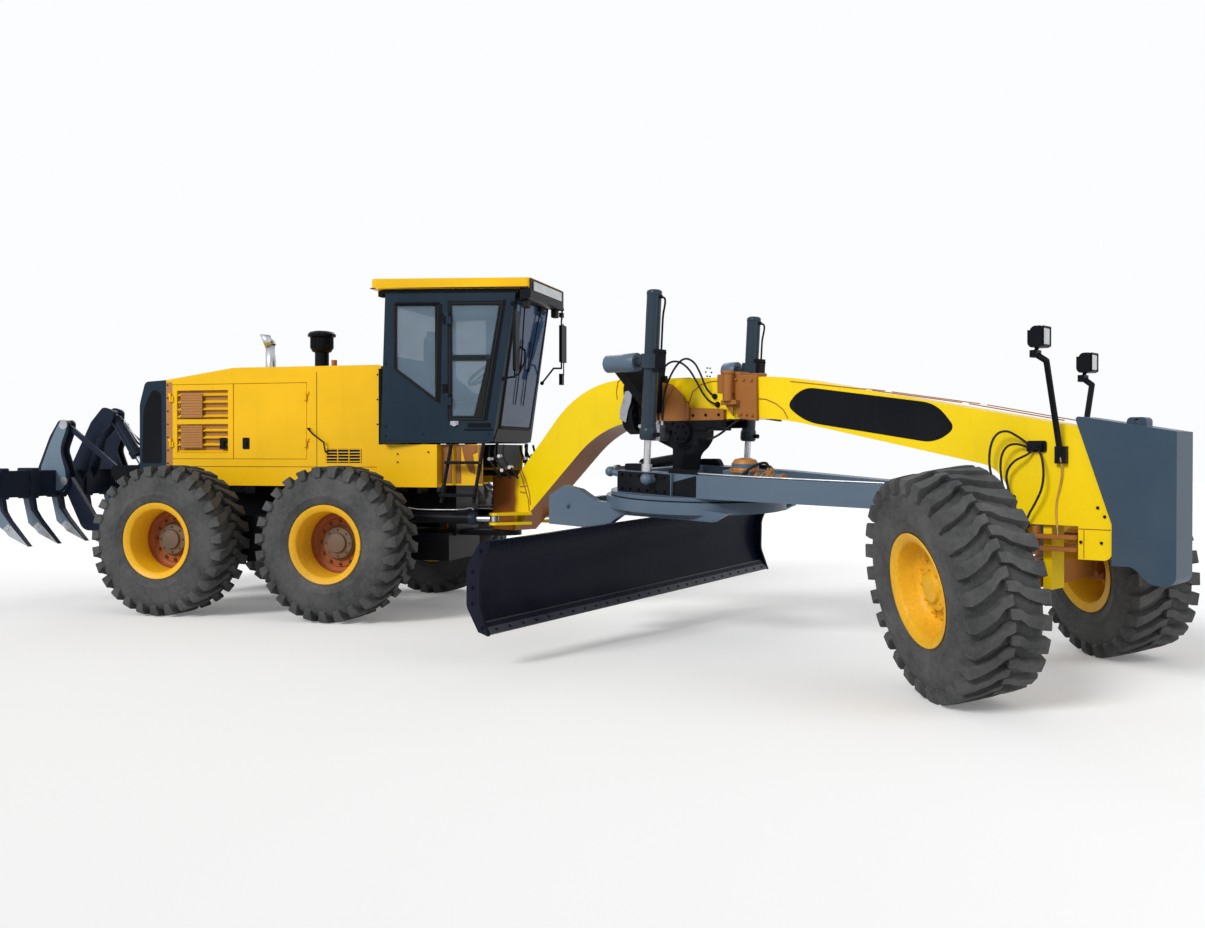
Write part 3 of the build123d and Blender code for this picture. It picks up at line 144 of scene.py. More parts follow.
def weathered_group():
    """Paint with tone drift, rain streaks, dust that thickens towards the ground and chips."""
    tree, inputs, outputs = new_group("WeatheredPaint", [
        ("Paint", "Color", (0.8, 0.6, 0.1, 1)), ("Dirt", "Color", (0.3, 0.22, 0.15, 1)), ("Dust", "Float", 0.3),
        ("Chips", "Float", 0.2), ("Gloss", "Float", 0.3), ("Grain", "Float", 0.1)],
        [("Color", "Color"), ("Roughness", "Float"), ("Normal", "Vector")])
    plain = stretched(tree, (1, 1, 1))
    drift = noise(tree, plain, 1.3, 3)
    fine = noise(tree, plain, 55, 5)
    speck = noise(tree, plain, 240, 3)
    streak = noise(tree, stretched(tree, (14, 14, 0.9)), 1.0, 5)
    position = tree.nodes.new("ShaderNodeNewGeometry").outputs["Position"]
    split = tree.nodes.new("ShaderNodeSeparateXYZ")
    tree.links.new(position, split.inputs[0])
    low = ramp(tree, split.outputs["Z"], 2.2, 0.2, 0.12, 1.0)
    patch = ramp(tree, plus(tree, drift, times(tree, fine, 0.5)), 0.62, 0.98)
    dust = times(tree, times(tree, patch, low), inputs.outputs["Dust"])
    streaks = times(tree, ramp(tree, streak, 0.56, 0.78), times(tree, inputs.outputs["Dust"], 0.35))
    dirt = maths(tree, "MINIMUM", plus(tree, dust, streaks), 0.9)
    shade = ramp(tree, drift, 0.3, 0.7, 0.9, 1.06)
    tone = tree.nodes.new("ShaderNodeHueSaturation")
    tree.links.new(inputs.outputs["Paint"], tone.inputs["Color"])
    tree.links.new(shade, tone.inputs["Value"])
    painted = blend(tree, dirt, tone.outputs["Color"], inputs.outputs["Dirt"])
    edge = maths(tree, "SUBTRACT", 0.86, times(tree, inputs.outputs["Chips"], 0.14))
    chip = ramp(tree, plus(tree, times(tree, fine, 0.6), times(tree, speck, 0.55)), edge, 0.9)
    chipped = times(tree, chip, inputs.outputs["Chips"])
    colour = blend(tree, chipped, painted, (0.12, 0.09, 0.07, 1))
    tree.links.new(colour, outputs.inputs["Color"])
    rough = plus(tree, inputs.outputs["Gloss"], times(tree, dirt, 0.45))
    tree.links.new(plus(tree, rough, times(tree, fine, 0.1)), outputs.inputs["Roughness"])
    height = plus(tree, times(tree, speck, 0.5), times(tree, fine, 0.6))
    tree.links.new(bump(tree, height, inputs.outputs["Grain"], 0.004), outputs.inputs["Normal"])
    return tree


def rubber_group():
    """Tyre rubber with dusty patches, scuffs and a fine grain."""
    tree, inputs, outputs = new_group("DustyRubber", [
        ("Rubber", "Color", (0.02, 0.02, 0.022, 1)), ("Dirt", "Color", (0.22, 0.2, 0.17, 1)), ("Dust", "Float", 0.5)],
        [("Color", "Color"), ("Roughness", "Float"), ("Normal", "Vector")])
    plain = stretched(tree, (1, 1, 1))
    broad = noise(tree, plain, 3.0, 5)
    fine = noise(tree, plain, 90, 6, 0.7)
    scuff = noise(tree, stretched(tree, (30, 6, 30)), 1.0, 6, 0.7)
    share = times(tree, ramp(tree, plus(tree, broad, times(tree, scuff, 0.6)), 0.55, 1.15),
        inputs.outputs["Dust"])
    colour = blend(tree, share, inputs.outputs["Rubber"], inputs.outputs["Dirt"])
    tree.links.new(colour, outputs.inputs["Color"])
    tree.links.new(ramp(tree, fine, 0.3, 0.7, 0.62, 0.9), outputs.inputs["Roughness"])
    tree.links.new(bump(tree, plus(tree, fine, times(tree, scuff, 0.7)), 0.35, 0.006), outputs.inputs["Normal"])
    return tree


def metal_group():
    """Bare metal with turning marks, stains and uneven polish."""
    tree, inputs, outputs = new_group("WorkedMetal", [
        ("Metal", "Color", (0.6, 0.6, 0.62, 1)), ("Stain", "Color", (0.2, 0.12, 0.07, 1)), ("Stains", "Float", 0.2),
        ("Polish", "Float", 0.2)],
        [("Color", "Color"), ("Roughness", "Float"), ("Normal", "Vector")])
    plain = stretched(tree, (1, 1, 1))
    rings = noise(tree, stretched(tree, (3, 3, 160)), 1.0, 3)
    blot = noise(tree, plain, 9, 6, 0.65)
    colour = blend(tree, times(tree, ramp(tree, blot, 0.48, 0.72), inputs.outputs["Stains"]), inputs.outputs["Metal"],
        inputs.outputs["Stain"])
    tree.links.new(colour, outputs.inputs["Color"])
    rough = plus(tree, inputs.outputs["Polish"], times(tree, plus(tree, rings, blot), 0.16))
    tree.links.new(rough, outputs.inputs["Roughness"])
    tree.links.new(bump(tree, plus(tree, rings, blot), 0.15, 0.002), outputs.inputs["Normal"])
    return tree


GROUPS = {"paint": weathered_group(), "rubber": rubber_group(), "metal": metal_group()}


def new_material(name):
    """Material with its node tree and its shader."""
    made = bpy.data.materials.new(name)
    made.use_nodes = True
    return made, made.node_tree, made.node_tree.nodes["Principled BSDF"]


def material(name, group, sockets, fixed):
    """Principled material fed by one shared group; fixed values sit on the shader's own sockets."""
    made, tree, shader = new_material(name)
    node = tree.nodes.new("ShaderNodeGroup")
    node.node_tree = GROUPS[group]
    for socket, value in sockets.items():
        node.inputs[socket].default_value = value
    tree.links.new(node.outputs["Color"], shader.inputs["Base Color"])
    tree.links.new(node.outputs["Roughness"], shader.inputs["Roughness"])
    tree.links.new(node.outputs["Normal"], shader.inputs["Normal"])
    for socket, value in fixed.items():
        shader.inputs[socket].default_value = value
    return made


BROWN = (0.16, 0.075, 0.03, 1)
GREY_DUST = (0.13, 0.12, 0.105, 1)
RUBBER_DUST = (0.22, 0.2, 0.17, 1)
SOCKETS = {"paint": ("Paint", "Dirt", "Dust", "Chips", "Gloss", "Grain"), "rubber": ("Rubber", "Dirt", "Dust"),
    "metal": ("Metal", "Stains", "Polish")}
LAST_SOCKET = {"paint": "Specular IOR Level", "rubber": "Specular IOR Level", "metal": "Metallic"}
Look = {}
# Each row: name, group, the group's SOCKETS in their order, and the shader's LAST_SOCKET
for name, group, *values, last in [
    ("yellow", "paint", (0.88, 0.5, 0.004, 1), BROWN, 0.16, 0.2, 0.26, 0.05, 0.2),
    ("neck_yellow", "paint", (0.89, 0.63, 0.003, 1), BROWN, 0.22, 0.26, 0.28, 0.06, 0.2),
    ("rim_yellow", "paint", (0.85, 0.45, 0.01, 1), BROWN, 0.5, 0.4, 0.34, 0.12, 0.25),
    ("rust_brown", "paint", (0.34, 0.12, 0.02, 1), (0.1, 0.05, 0.02, 1), 0.5, 0.5, 0.5, 0.3, 0.35),
    ("cab_grey", "paint", (0.016, 0.03, 0.046, 1), GREY_DUST, 0.1, 0.1, 0.3, 0.06, 0.07),
    ("slate", "paint", (0.038, 0.066, 0.1, 1), GREY_DUST, 0.2, 0.2, 0.3, 0.08, 0.12),
    ("motor_grey", "paint", (0.035, 0.037, 0.04, 1), GREY_DUST, 0.35, 0.1, 0.5, 0.3, 0.2),
    ("lift_slate", "paint", (0.02, 0.034, 0.05, 1), GREY_DUST, 0.14, 0.3, 0.26, 0.08, 0.2),
    ("black", "paint", (0.005, 0.006, 0.009, 1), GREY_DUST, 0.12, 0.15, 0.32, 0.14, 0.06),
    ("blue_grey", "paint", (0.082, 0.125, 0.18, 1), GREY_DUST, 0.3, 0.3, 0.34, 0.15, 0.35),
    ("navy", "paint", (0.012, 0.018, 0.036, 1), GREY_DUST, 0.16, 0.3, 0.26, 0.1, 0.08),
    ("blade", "paint", (0.005, 0.007, 0.018, 1), (0.06, 0.055, 0.05, 1), 0.16, 0.3, 0.22, 0.08, 0.05),
    ("rubber", "rubber", (0.02, 0.021, 0.023, 1), (0.2, 0.2, 0.19, 1), 0.42, 0.4),
    ("hose", "rubber", (0.005, 0.005, 0.006, 1), RUBBER_DUST, 0.06, 0.3),
    ("chrome", "metal", (0.5, 0.52, 0.55, 1), 0.3, 0.14, 1.0),
    ("steel", "metal", (0.42, 0.43, 0.45, 1), 0.45, 0.28, 1.0),
    ("worn_steel", "metal", (0.33, 0.35, 0.39, 1), 0.6, 0.36, 0.9),
    ("brass", "metal", (0.55, 0.33, 0.12, 1), 0.5, 0.3, 0.9),
    ("motor", "paint", (0.42, 0.17, 0.025, 1), (0.05, 0.03, 0.02, 1), 0.4, 0.7, 0.4, 0.4, 0.5),
    ("worn_blade", "paint", (0.01, 0.014, 0.03, 1), (0.09, 0.085, 0.08, 1), 0.25, 0.6, 0.3, 0.15, 0.35),
    ("shank_grey", "paint", (0.13, 0.19, 0.25, 1), (0.04, 0.05, 0.06, 1), 0.6, 0.6, 0.32, 0.2, 0.4),
    # rim_rust colours the recessed disc of the rear rims a darker orange-brown
    ("rim_rust", "paint", (0.36, 0.085, 0.015, 1), (0.09, 0.045, 0.02, 1), 0.55, 0.4, 0.45, 0.25, 0.3),
    ("hub_grey", "paint", (0.11, 0.085, 0.06, 1), (0.25, 0.09, 0.03, 1), 0.9, 0.5, 0.4, 0.3, 0.35),
    # cheek_brown is a brown that paints shade and shadow on yellow paint
    ("cheek_brown", "paint", (0.31, 0.115, 0.022, 1), (0.12, 0.045, 0.015, 1), 0.7, 0.4, 0.42, 0.2, 0.3),
    ("trim", "rubber", (0.006, 0.006, 0.007, 1), RUBBER_DUST, 0.04, 0.2),
]:
    Look[name] = material(name, group, dict(zip(SOCKETS[group], values)), {LAST_SOCKET[group]: last})
for name in ("yellow", "neck_yellow"):
    coated = Look[name].node_tree.nodes["Principled BSDF"]
    coated.inputs["Coat Weight"].default_value = 0.05
    coated.inputs["Coat Roughness"].default_value = 0.1


def paint_neck_shade_and_rust():
    """Browns the neck's paint: painted shade on its undersides, and round its foot a brown that is partly painted
    shadow and partly rust.
    """
    tree = Look["neck_yellow"].node_tree
    shader = tree.nodes["Principled BSDF"]
    paint = shader.inputs["Base Color"].links[0].from_socket
    facing = tree.nodes.new("ShaderNodeSeparateXYZ")
    tree.links.new(tree.nodes.new("ShaderNodeNewGeometry").outputs["Normal"], facing.inputs[0])
    # Painted shade: faces turned downwards are browned.
    underside_shade = ramp(tree, facing.outputs["Z"], -0.2, -0.5)
    along = tree.nodes.new("ShaderNodeVectorMath")
    along.operation = "DOT_PRODUCT"
    plain = stretched(tree, (1, 1, 1))
    tree.links.new(plain, along.inputs[0])
    along.inputs[1].default_value = FRONT.to_3x3() @ Vector((1, 0, 0))
    reach = along.inputs[1].default_value[0] * PIVOT.x + along.inputs[1].default_value[1] * PIVOT.y
    # Round the foot, next to the frame joint, the brown is partly painted shadow and partly rust.
    ragged = plus(tree, along.outputs["Value"], times(tree, noise(tree, plain, 3.0, 5), 0.16))
    foot_shade_and_rust = ramp(tree, ragged, reach + 0.44, reach + 0.38)
    tree.links.new(blend(tree, maths(tree, "MAXIMUM", underside_shade, foot_shade_and_rust), paint, (0.27, 0.09, 0.02, 1)),
        shader.inputs["Base Color"])


def glass_material(name, tint, alpha, shine=0.8):
    """Tinted pane with faint smears in its roughness."""
    made, tree, shader = new_material(name)
    smear = noise(tree, stretched(tree, (2, 2, 5)), 2.0, 4)
    tree.links.new(ramp(tree, smear, 0.3, 0.8, 0.03, 0.12), shader.inputs["Roughness"])
    tree.links.new(blend(tree, ramp(tree, smear, 0.4, 0.7), tint, tuple(1.25 * c for c in tint[:3]) + (1,)),
        shader.inputs["Base Color"])
    shader.inputs["Alpha"].default_value = alpha
    shader.inputs["Specular IOR Level"].default_value = shine
    shader.inputs["Coat Weight"].default_value = 0.75 * shine
    return made


paint_neck_shade_and_rust()
Look["glass"] = glass_material("glass", (0.1, 0.17, 0.24, 1), 0.5)
Look["screen_glass"] = glass_material("screen_glass", (0.035, 0.075, 0.165, 1), 0.9, 0.1)
Look["lens"] = glass_material("lens", (0.55, 0.58, 0.6, 1), 0.85)


def add_bevel(made, name, width, angle):
    """Bevel on the edges sharper than an angle in degrees."""
    edges = made.modifiers.new(name, "BEVEL")
    edges.width = width
    edges.segments = 2
    edges.limit_method = "ANGLE"
    edges.angle_limit = radians(angle)
    edges.harden_normals = True


# A star stands for both sides
NODE_LOOKS = [
    ("neck_yellow", "gooseneck"), ("yellow", "hood cab_roof plain_door_* louvre_door_*"),
    ("black", "rear_frame rear_axle shift_barrel articulation_barrel_* saddle front_lamps cab_steps exhaust "
    "precleaner knuckle_*"),
    ("slate", "front_block"), ("motor_grey", "engine_block"), ("lift_slate", "lift_barrel_*"),
    ("rust_brown", "front_axle lean_arm_*"), ("cab_grey", "cab_body cab_door_* rear_cowl"),
    ("blue_grey", "drawbar circle blade_carrier"), ("navy", "ripper_arms ripper_links ripper_beam ripper_cylinder"),
    ("blade", "blade"), ("steel", "drawbar_ball"), ("trim", "seat control_console"), ("glass", "cab_glass"),
    ("chrome", "lift_rod_* shift_rod articulation_rod_* ripper_rod"),
    ("rubber", "rear_tyre_* middle_tyre_* front_tyre_*"), ("rim_yellow", "rear_rim_* middle_rim_* front_rim_*")]
for look, names in NODE_LOOKS:
    for node_name in dict.fromkeys(name.replace("*", side_name) for name in names.split() for side_name in SIDES):
        node = frame["nodes"][node_name]
        node.data.materials.clear()
        node.data.materials.append(Look[look])
        if look not in ("glass", "rubber", "rim_yellow"):
            add_bevel(node, "soft edges", 0.006, 38)


# Mesh helpers
def linked(name, data):
    """New object in the scene."""
    made = bpy.data.objects.new(name, data)
    bpy.context.scene.collection.objects.link(made)
    return made


def piece(name, mesh, place, look, body, bevel=0.0, smooth=False, replaced=()):
    """Object from a bmesh put at place, riding on a body."""
    data = bpy.data.meshes.new(name)
    bmesh.ops.recalc_face_normals(mesh, faces=mesh.faces)
    mesh.transform(place)
    if place.determinant() < 0:
        bmesh.ops.reverse_faces(mesh, faces=mesh.faces)
    for face in mesh.faces:
        face.smooth = smooth or bevel > 0
    mesh.to_mesh(data)
    mesh.free()
    made = linked(name, data)
    looks = look if isinstance(look, tuple) else (look,)
    for one in looks:
        data.materials.append(Look[one])
    if bevel:
        add_bevel(made, "edges", bevel, 35)
    elif smooth:
        data.set_sharp_from_angle(angle=radians(40))
    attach(made, body)
    if replaced:
        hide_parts(*replaced)
    return made


def add_box(mesh, x, y, z):
    """Box into a bmesh from pairs of low and high coordinates."""
    middle = Matrix.Translation([(low + high) / 2 for low, high in (x, y, z)])
    size = Matrix.Diagonal([high - low for low, high in (x, y, z)] + [1])
    bmesh.ops.create_cube(mesh, size=1.0, matrix=middle @ size)


def add_rod(mesh, start, end, radius, sides=24):
    """Round bar into a bmesh between two points."""
    start, end = Vector(start), Vector(end)
    along = end - start
    place = Matrix.Translation((start + end) / 2) @ along.to_track_quat("Z", "Y").to_matrix().to_4x4()
    bmesh.ops.create_cone(mesh, cap_ends=True, segments=sides, radius1=radius, radius2=radius,
        depth=along.length, matrix=place)


def bridge(mesh, rows):
    """Faces between closed rows of vertices."""
    for low, high in zip(rows, rows[1:]):
        for step in range(len(low)):
            following = (step + 1) % len(low)
            mesh.faces.new((low[step], low[following], high[following], high[step]))


def lathe(profile, steps, axis="Y"):
    """Surface of revolution from (radius, along) points round Y or Z."""
    mesh = bmesh.new()
    rings = []
    for radius, along in profile:
        circle = []
        for step in range(steps):
            angle = 2 * pi * step / steps
            flat = (radius * sin(angle), radius * cos(angle))
            circle.append(mesh.verts.new((flat[0], along, flat[1]) if axis == "Y" else (flat[0], flat[1], along)))
        rings.append(circle)
    bridge(mesh, rings)
    bmesh.ops.remove_doubles(mesh, verts=mesh.verts, dist=1e-5)
    return mesh


def add_mesh(mesh, other, place=None):
    """Moves another bmesh's faces into a bmesh."""
    if place:
        other.transform(place)
    carried = bpy.data.meshes.new("carried")
    other.to_mesh(carried)
    other.free()
    mesh.from_mesh(carried)
    bpy.data.meshes.remove(carried)


def prism(outline, axis, low, high):
    """Bmesh prism of an outline of (u, v) along axis x, y or z."""
    mesh = bmesh.new()
    place = {"x": lambda u, v, w: (w, u, v), "y": lambda u, v, w: (u, w, v), "z": lambda u, v, w: (u, v, w)}[axis]
    bottom = [mesh.verts.new(place(u, v, low)) for u, v in outline]
    top = [mesh.verts.new(place(u, v, high)) for u, v in outline]
    mesh.faces.new(bottom)
    mesh.faces.new(list(reversed(top)))
    count = len(outline)
    for step in range(count):
        following = (step + 1) % count
        mesh.faces.new((bottom[step], top[step], top[following], bottom[following]))
    return mesh


def rounded(corners, steps=5):
    """Outline with rounded corners from (u, v, radius) corners."""
    points = []
    count = len(corners)
    for index, (u, v, radius) in enumerate(corners):
        here = Vector((u, v))
        before = (Vector(corners[index - 1][:2]) - here).normalized()
        after = (Vector(corners[(index + 1) % count][:2]) - here).normalized()
        if radius == 0:
            points.append((u, v))
            continue
        for step in range(steps + 1):
            share = step / steps
            start, end = here + before * radius, here + after * radius
            bend = start * (1 - share) ** 2 + here * 2 * share * (1 - share) + end * share ** 2
            points.append((bend.x, bend.y))
    return points


def rounded_rect(left, right, low, high, radius):
    """Outline of a rectangle with rounded corners."""
    return rounded([(left, low, radius), (right, low, radius), (right, high, radius), (left, high, radius)])


def span(middle, half):
    """Low and high coordinate, half to each side of a middle."""
    return middle - half, middle + half


def slab(mesh, outline, middle, half):
    """Plate of an (x, z) outline into a bmesh, half to each side of a middle along y."""
    add_mesh(mesh, prism(outline, "y", *span(middle, half)))


def ring(count, radius):
    """Evenly spaced (u, v) points on a circle."""
    return [(radius * cos(2 * pi * step / count), radius * sin(2 * pi * step / count)) for step in range(count)]


def hose(name, points, radius, look, body, place, resolution=8):
    """Smooth round tube through points."""
    curve = bpy.data.curves.new(name, "CURVE")
    curve.dimensions = "3D"
    curve.bevel_depth = radius
    curve.bevel_resolution = 3
    curve.resolution_u = resolution
    curve.use_fill_caps = True
    line = curve.splines.new("NURBS")
    line.points.add(len(points) - 1)
    for point, co in zip(line.points, points):
        point.co = (*(place @ Vector(co)), 1)
    line.order_u = 3
    line.use_endpoint_u = True
    curve.materials.append(Look[look])
    made = linked(name, curve)
    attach(made, body)
    return made


# Wheels
TYRE_R = 0.744
LUGS = 27


def tyre_mesh():
    """Tyre round Y, outer side towards -Y: smooth bulged walls with rings, and two rows of slanted lugs."""
    base = TYRE_R - 0.05
    wall = [(0.331, -0.206), (0.345, -0.226), (0.375, -0.232), (0.383, -0.240), (0.41, -0.252), (0.45, -0.262),
        (0.455, -0.2655), (0.465, -0.2655), (0.47, -0.264), (0.53, -0.2685), (0.585, -0.266), (0.63, -0.255),
        (0.665, -0.238), (base, -0.2)]
    profile = wall + [(radius, -along) for radius, along in reversed(wall)]
    mesh = lathe(profile + [profile[0]], 120)
    for side in (-1, 1):
        for step in range(LUGS):
            add_lug(mesh, side, 2 * pi * (step + (0.5 if side > 0 else 0)) / LUGS)
    return mesh


def add_lug(mesh, side, angle):
    """Curved lug from the middle of the tread to low on the shoulder, tapering as it goes down the wall."""
    stations = [(TYRE_R, -0.012, -0.04, 0.042), (TYRE_R, 0.05, -0.02, 0.046), (TYRE_R - 0.001, 0.1, 0.045, 0.048),
        (TYRE_R - 0.003, 0.19, 0.1, 0.058), (TYRE_R - 0.007, 0.25, 0.12, 0.064), (TYRE_R - 0.03, 0.269, 0.125, 0.062),
        (TYRE_R - 0.1, 0.2735, 0.14, 0.045)]
    rows = []
    for radius, across, turn, half in stations:
        sunk = 0.66 if across < 0.24 else radius - 0.05
        inner = across if across < 0.24 else across - 0.05
        row = []
        for edge, depth in ((-1, 0), (-1, 1), (1, 1), (1, 0)):
            at = angle + turn + edge * half * (1.0 if depth else 1.18)
            r, a = (radius, across) if depth else (sunk, inner)
            row.append(mesh.verts.new((r * sin(at), side * a, r * cos(at))))
        rows.append(row)
    bridge(mesh, rows)
    mesh.faces.new(rows[0])
    mesh.faces.new(list(reversed(rows[-1])))


def rim_mesh(disc):
    """Rim round Y with rolled flanges, a gutter and a dished disc; outer side towards -Y."""
    outer = [(0.331, -0.206), (0.334, -0.222), (0.372, -0.236), (0.377, -0.243), (0.372, -0.249), (0.356, -0.246),
        (0.34, -0.235), (0.318, -0.226), (0.311, -0.214), (0.308, -0.17), (0.298, -0.15), (0.294, disc - 0.05),
        (0.28, disc - 0.02), (0.262, disc - 0.006), (0.24, disc - 0.004), (0.232, disc - 0.014), (0.0, disc - 0.014)]
    inner = [(0.331, 0.206), (0.334, 0.222), (0.372, 0.236), (0.377, 0.243), (0.372, 0.249), (0.352, 0.244),
        (0.305, 0.232), (0.296, 0.21), (0.296, disc + 0.03), (0.285, disc + 0.02), (0.0, disc + 0.02)]
    mesh = lathe(outer, 96)
    add_mesh(mesh, lathe(inner, 96))
    add_mesh(mesh, lathe([(0.331, -0.206), (0.331, 0.206)], 96))
    # Faces of the recessed disc take the second material.
    for face in mesh.faces:
        middle = face.calc_center_median()
        far = (middle.x ** 2 + middle.z ** 2) ** 0.5
        face.material_index = int(far < 0.29 and middle.y < disc + 0.01)
    return mesh


def hub_mesh(disc, hub_out):
    """Hub with its cover, a ring of wheel nuts and a ring of cover bolts."""
    mesh = lathe([(0.17, disc - 0.014), (0.168, disc - 0.03), (0.16, hub_out + 0.03), (0.148, hub_out),
        (0.1, hub_out - 0.006), (0.09, hub_out - 0.03), (0.05, hub_out - 0.036), (0.0, hub_out - 0.036)], 72)
    for count, round_at, reach, nut in ((12, 0.205, disc - 0.014, 0.017), (8, 0.125, hub_out - 0.002, 0.009)):
        for step in range(count):
            angle = 2 * pi * step / count
            x, z = round_at * sin(angle), round_at * cos(angle)
            add_rod(mesh, (x, reach + 0.004, z), (x, reach - 1.3 * nut, z), nut, sides=6)
            add_rod(mesh, (x, reach - nut, z), (x, reach - 2.2 * nut, z), 0.55 * nut, sides=10)
    return mesh


def wheel_place(joint, side):
    """Matrix from a wheel drawn round Y at the origin to its place, mirrored on the left side."""
    axis = Vector(joint["axis"])
    up = (Vector((0, 0, 1)) - axis * axis.z).normalized()
    forward = axis.cross(up)
    turn = Matrix((forward, axis, up)).transposed().to_4x4()
    mirror = Matrix.Diagonal((1, -side, 1, 1)) if side > 0 else Matrix()
    return Matrix.Translation(joint["pos_m"]) @ turn @ mirror


WHEELS = [("rear", 0.085, 0.02), ("middle", 0.085, 0.02), ("front", -0.07, -0.13)]
for wheel, disc, hub_out in WHEELS:
    for side_name, side in SIDES.items():
        place = wheel_place(JOINTS[f"{wheel}_wheel_{side_name}_roll"], side)
        body = f"{wheel}_wheel_{side_name}"
        piece(f"{wheel}_tyre_{side_name}_lugged", tyre_mesh(), place, "rubber", body, smooth=True,
            replaced=[f"{wheel}_tyre_{side_name}"])
        # The recessed disc of the rear rims is a darker orange-brown than their yellow flanges.
        looks = ("rim_yellow", "rim_yellow" if wheel == "front" else "rim_rust")
        piece(f"{wheel}_rim_{side_name}_dished", rim_mesh(disc), place, looks, body, smooth=True,
            replaced=[f"{wheel}_rim_{side_name}"])
        piece(f"{wheel}_hub_{side_name}", hub_mesh(disc, hub_out), place,
            "rim_yellow" if wheel == "front" else "hub_grey", body, smooth=True)


def bead(mesh, points, radius, closed=False):
    """Round rubber or weld bead along straight runs."""
    ends = points[1:] + (points[:1] if closed else [])
    for start, end in zip(points, ends):
        add_rod(mesh, start, end, radius, sides=8)
    for point in points:
        bmesh.ops.create_uvsphere(mesh, u_segments=8, v_segments=6, radius=radius, matrix=Matrix.Translation(point))


def add_nuts(mesh, points, axis, radius):
    """Hexagon nuts with their stud ends on a list of points, facing along axis."""
    axis = Vector(axis)
    for point in points:
        point = Vector(point)
        add_rod(mesh, point - axis * 0.002, point + axis * 0.9 * radius, radius, sides=6)
        add_rod(mesh, point, point + axis * 1.5 * radius, 0.55 * radius, sides=10)


def row(start, end, count):
    """Evenly spaced points from start to end."""
    start, end = Vector(start), Vector(end)
    return [start.lerp(end, step / (count - 1)) for step in range(count)]


def flipped(side):
    """Matrix that mirrors a right-side piece to the named side."""
    return Matrix.Diagonal((1, -side if side > 0 else 1, 1, 1))


def loop_hose(name, points, radius, body, place):
    """Hydraulic hose between two fittings; a mesh of its centre line is also made and left unused."""
    made = hose(name, points, radius, "hose", body, place, 12)
    plain = made.data.copy()
    plain.bevel_depth = 0
    probe = bpy.data.objects.new("probe", plain)
    line = bpy.data.meshes.new_from_object(probe)
    bpy.data.objects.remove(probe)


# Cab: seals, door glass, handles, roof front, light bar, mirrors and wipers
CAB_SHEAR = Matrix(((1, 0, 0, 0), (0.203, 1, 0, -0.593), (0, 0, 1, 0), (0, 0, 0, 1)))
SCREEN_SHEAR = Matrix(((1, 0, 0.1513, 0.08 - 0.1513 * 1.71), (0, 1, 0, 0), (0, 0, 1, 0), (0, 0, 0, 1)))
QUARTER = [(-0.875, 3.08), (-0.875, 2.44), (-0.47, 2.13), (-0.445, 3.08)]
DOOR = [(-0.354, 1.936), (-0.007, 1.936), (0.183, 3.104), (-0.354, 3.104)]
DOOR_GLASS = [(-0.33, 1.965), (-0.03, 1.965), (0.155, 3.08), (-0.33, 3.08)]
SCREEN = [(-0.45, 1.86), (0.45, 1.86), (0.48, 3.14), (-0.48, 3.14)]
for side_name, side in SIDES.items():
    turn = REAR @ flipped(side) @ CAB_SHEAR
    seals = bmesh.new()
    bead(seals, [(x, 0.002, z) for x, z in QUARTER], 0.014, closed=True)
    bead(seals, [(x, 0.0, z) for x, z in DOOR], 0.007, closed=True)
    piece(f"window_seals_{side_name}", seals, turn, "trim", "rear_machine", smooth=True)
    bands = bmesh.new()
    add_mesh(bands, prism([(-0.48, 3.08), (-0.48, 2.14), (-0.43, 2.09), (-0.41, 3.08)], "y", -0.004, 0.002))
    bead(bands, [(-0.86, -0.002, 3.085), (-0.45, -0.002, 3.085)], 0.016)
    add_mesh(bands, prism([(0.185, 3.12), (0.215, 3.12), (0.03, 1.93), (0.0, 1.93)], "y", -0.002, 0.003))
    add_box(bands, (-1.0, 0.33), (-0.003, 0.002), (3.19, 3.225))
    piece(f"seal_bands_{side_name}", bands, turn, "black", "rear_machine", bevel=0.001)
    hinges = bmesh.new()
    for z in (2.94, 2.24):
        add_box(hinges, (-0.405, -0.36), (-0.016, 0.002), span(z, 0.05))
    add_box(hinges, (-0.16, 0.06), (-0.01, 0.002), (1.865, 1.905))
    bead(hinges, [(-0.19, -0.006, 1.84), (0.08, -0.006, 1.84)], 0.006)
    piece(f"door_hinges_{side_name}", hinges, turn, "black", "rear_machine", bevel=0.003)
    catch = bmesh.new()
    add_rod(catch, (-0.29, -0.02, 1.9), (-0.29, 0.004, 1.9), 0.028, sides=20)
    add_box(catch, (-0.33, -0.25), (-0.012, 0.002), (1.885, 1.925))
    piece(f"door_catch_{side_name}", catch, turn, "worn_steel", "rear_machine", bevel=0.002)
    pane = prism(DOOR_GLASS, "y", 0.016, 0.022)
    piece(f"door_glass_{side_name}", pane, turn, "glass", f"cab_door_{side_name}")
    door_trim = bmesh.new()
    bead(door_trim, [(x, 0.004, z) for x, z in DOOR_GLASS], 0.012, closed=True)
    add_box(door_trim, (-0.33, 0.02), (-0.004, 0.02), (2.535, 2.565))
    add_mesh(door_trim, prism([(-0.03, 1.965), (-0.105, 1.965), (0.03, 2.54), (0.062, 2.54)], "y", 0.0, 0.01))
    piece(f"door_trim_{side_name}", door_trim, turn, "trim", f"cab_door_{side_name}", smooth=True)
    screws = bmesh.new()
    add_nuts(screws, [(x, 0.0, z) for x, z in ((-0.97, 1.78), (-0.97, 1.88), (-0.6, 1.8), (0.04, 1.8), (-0.97, 2.5))],
        (0, -1, 0), 0.011)
    bead(screws, [(-1.0, 0.0, 1.74), (0.03, 0.0, 1.74)], 0.004)
    piece(f"cab_screws_{side_name}", screws, turn, "cab_grey", "rear_machine", smooth=True)

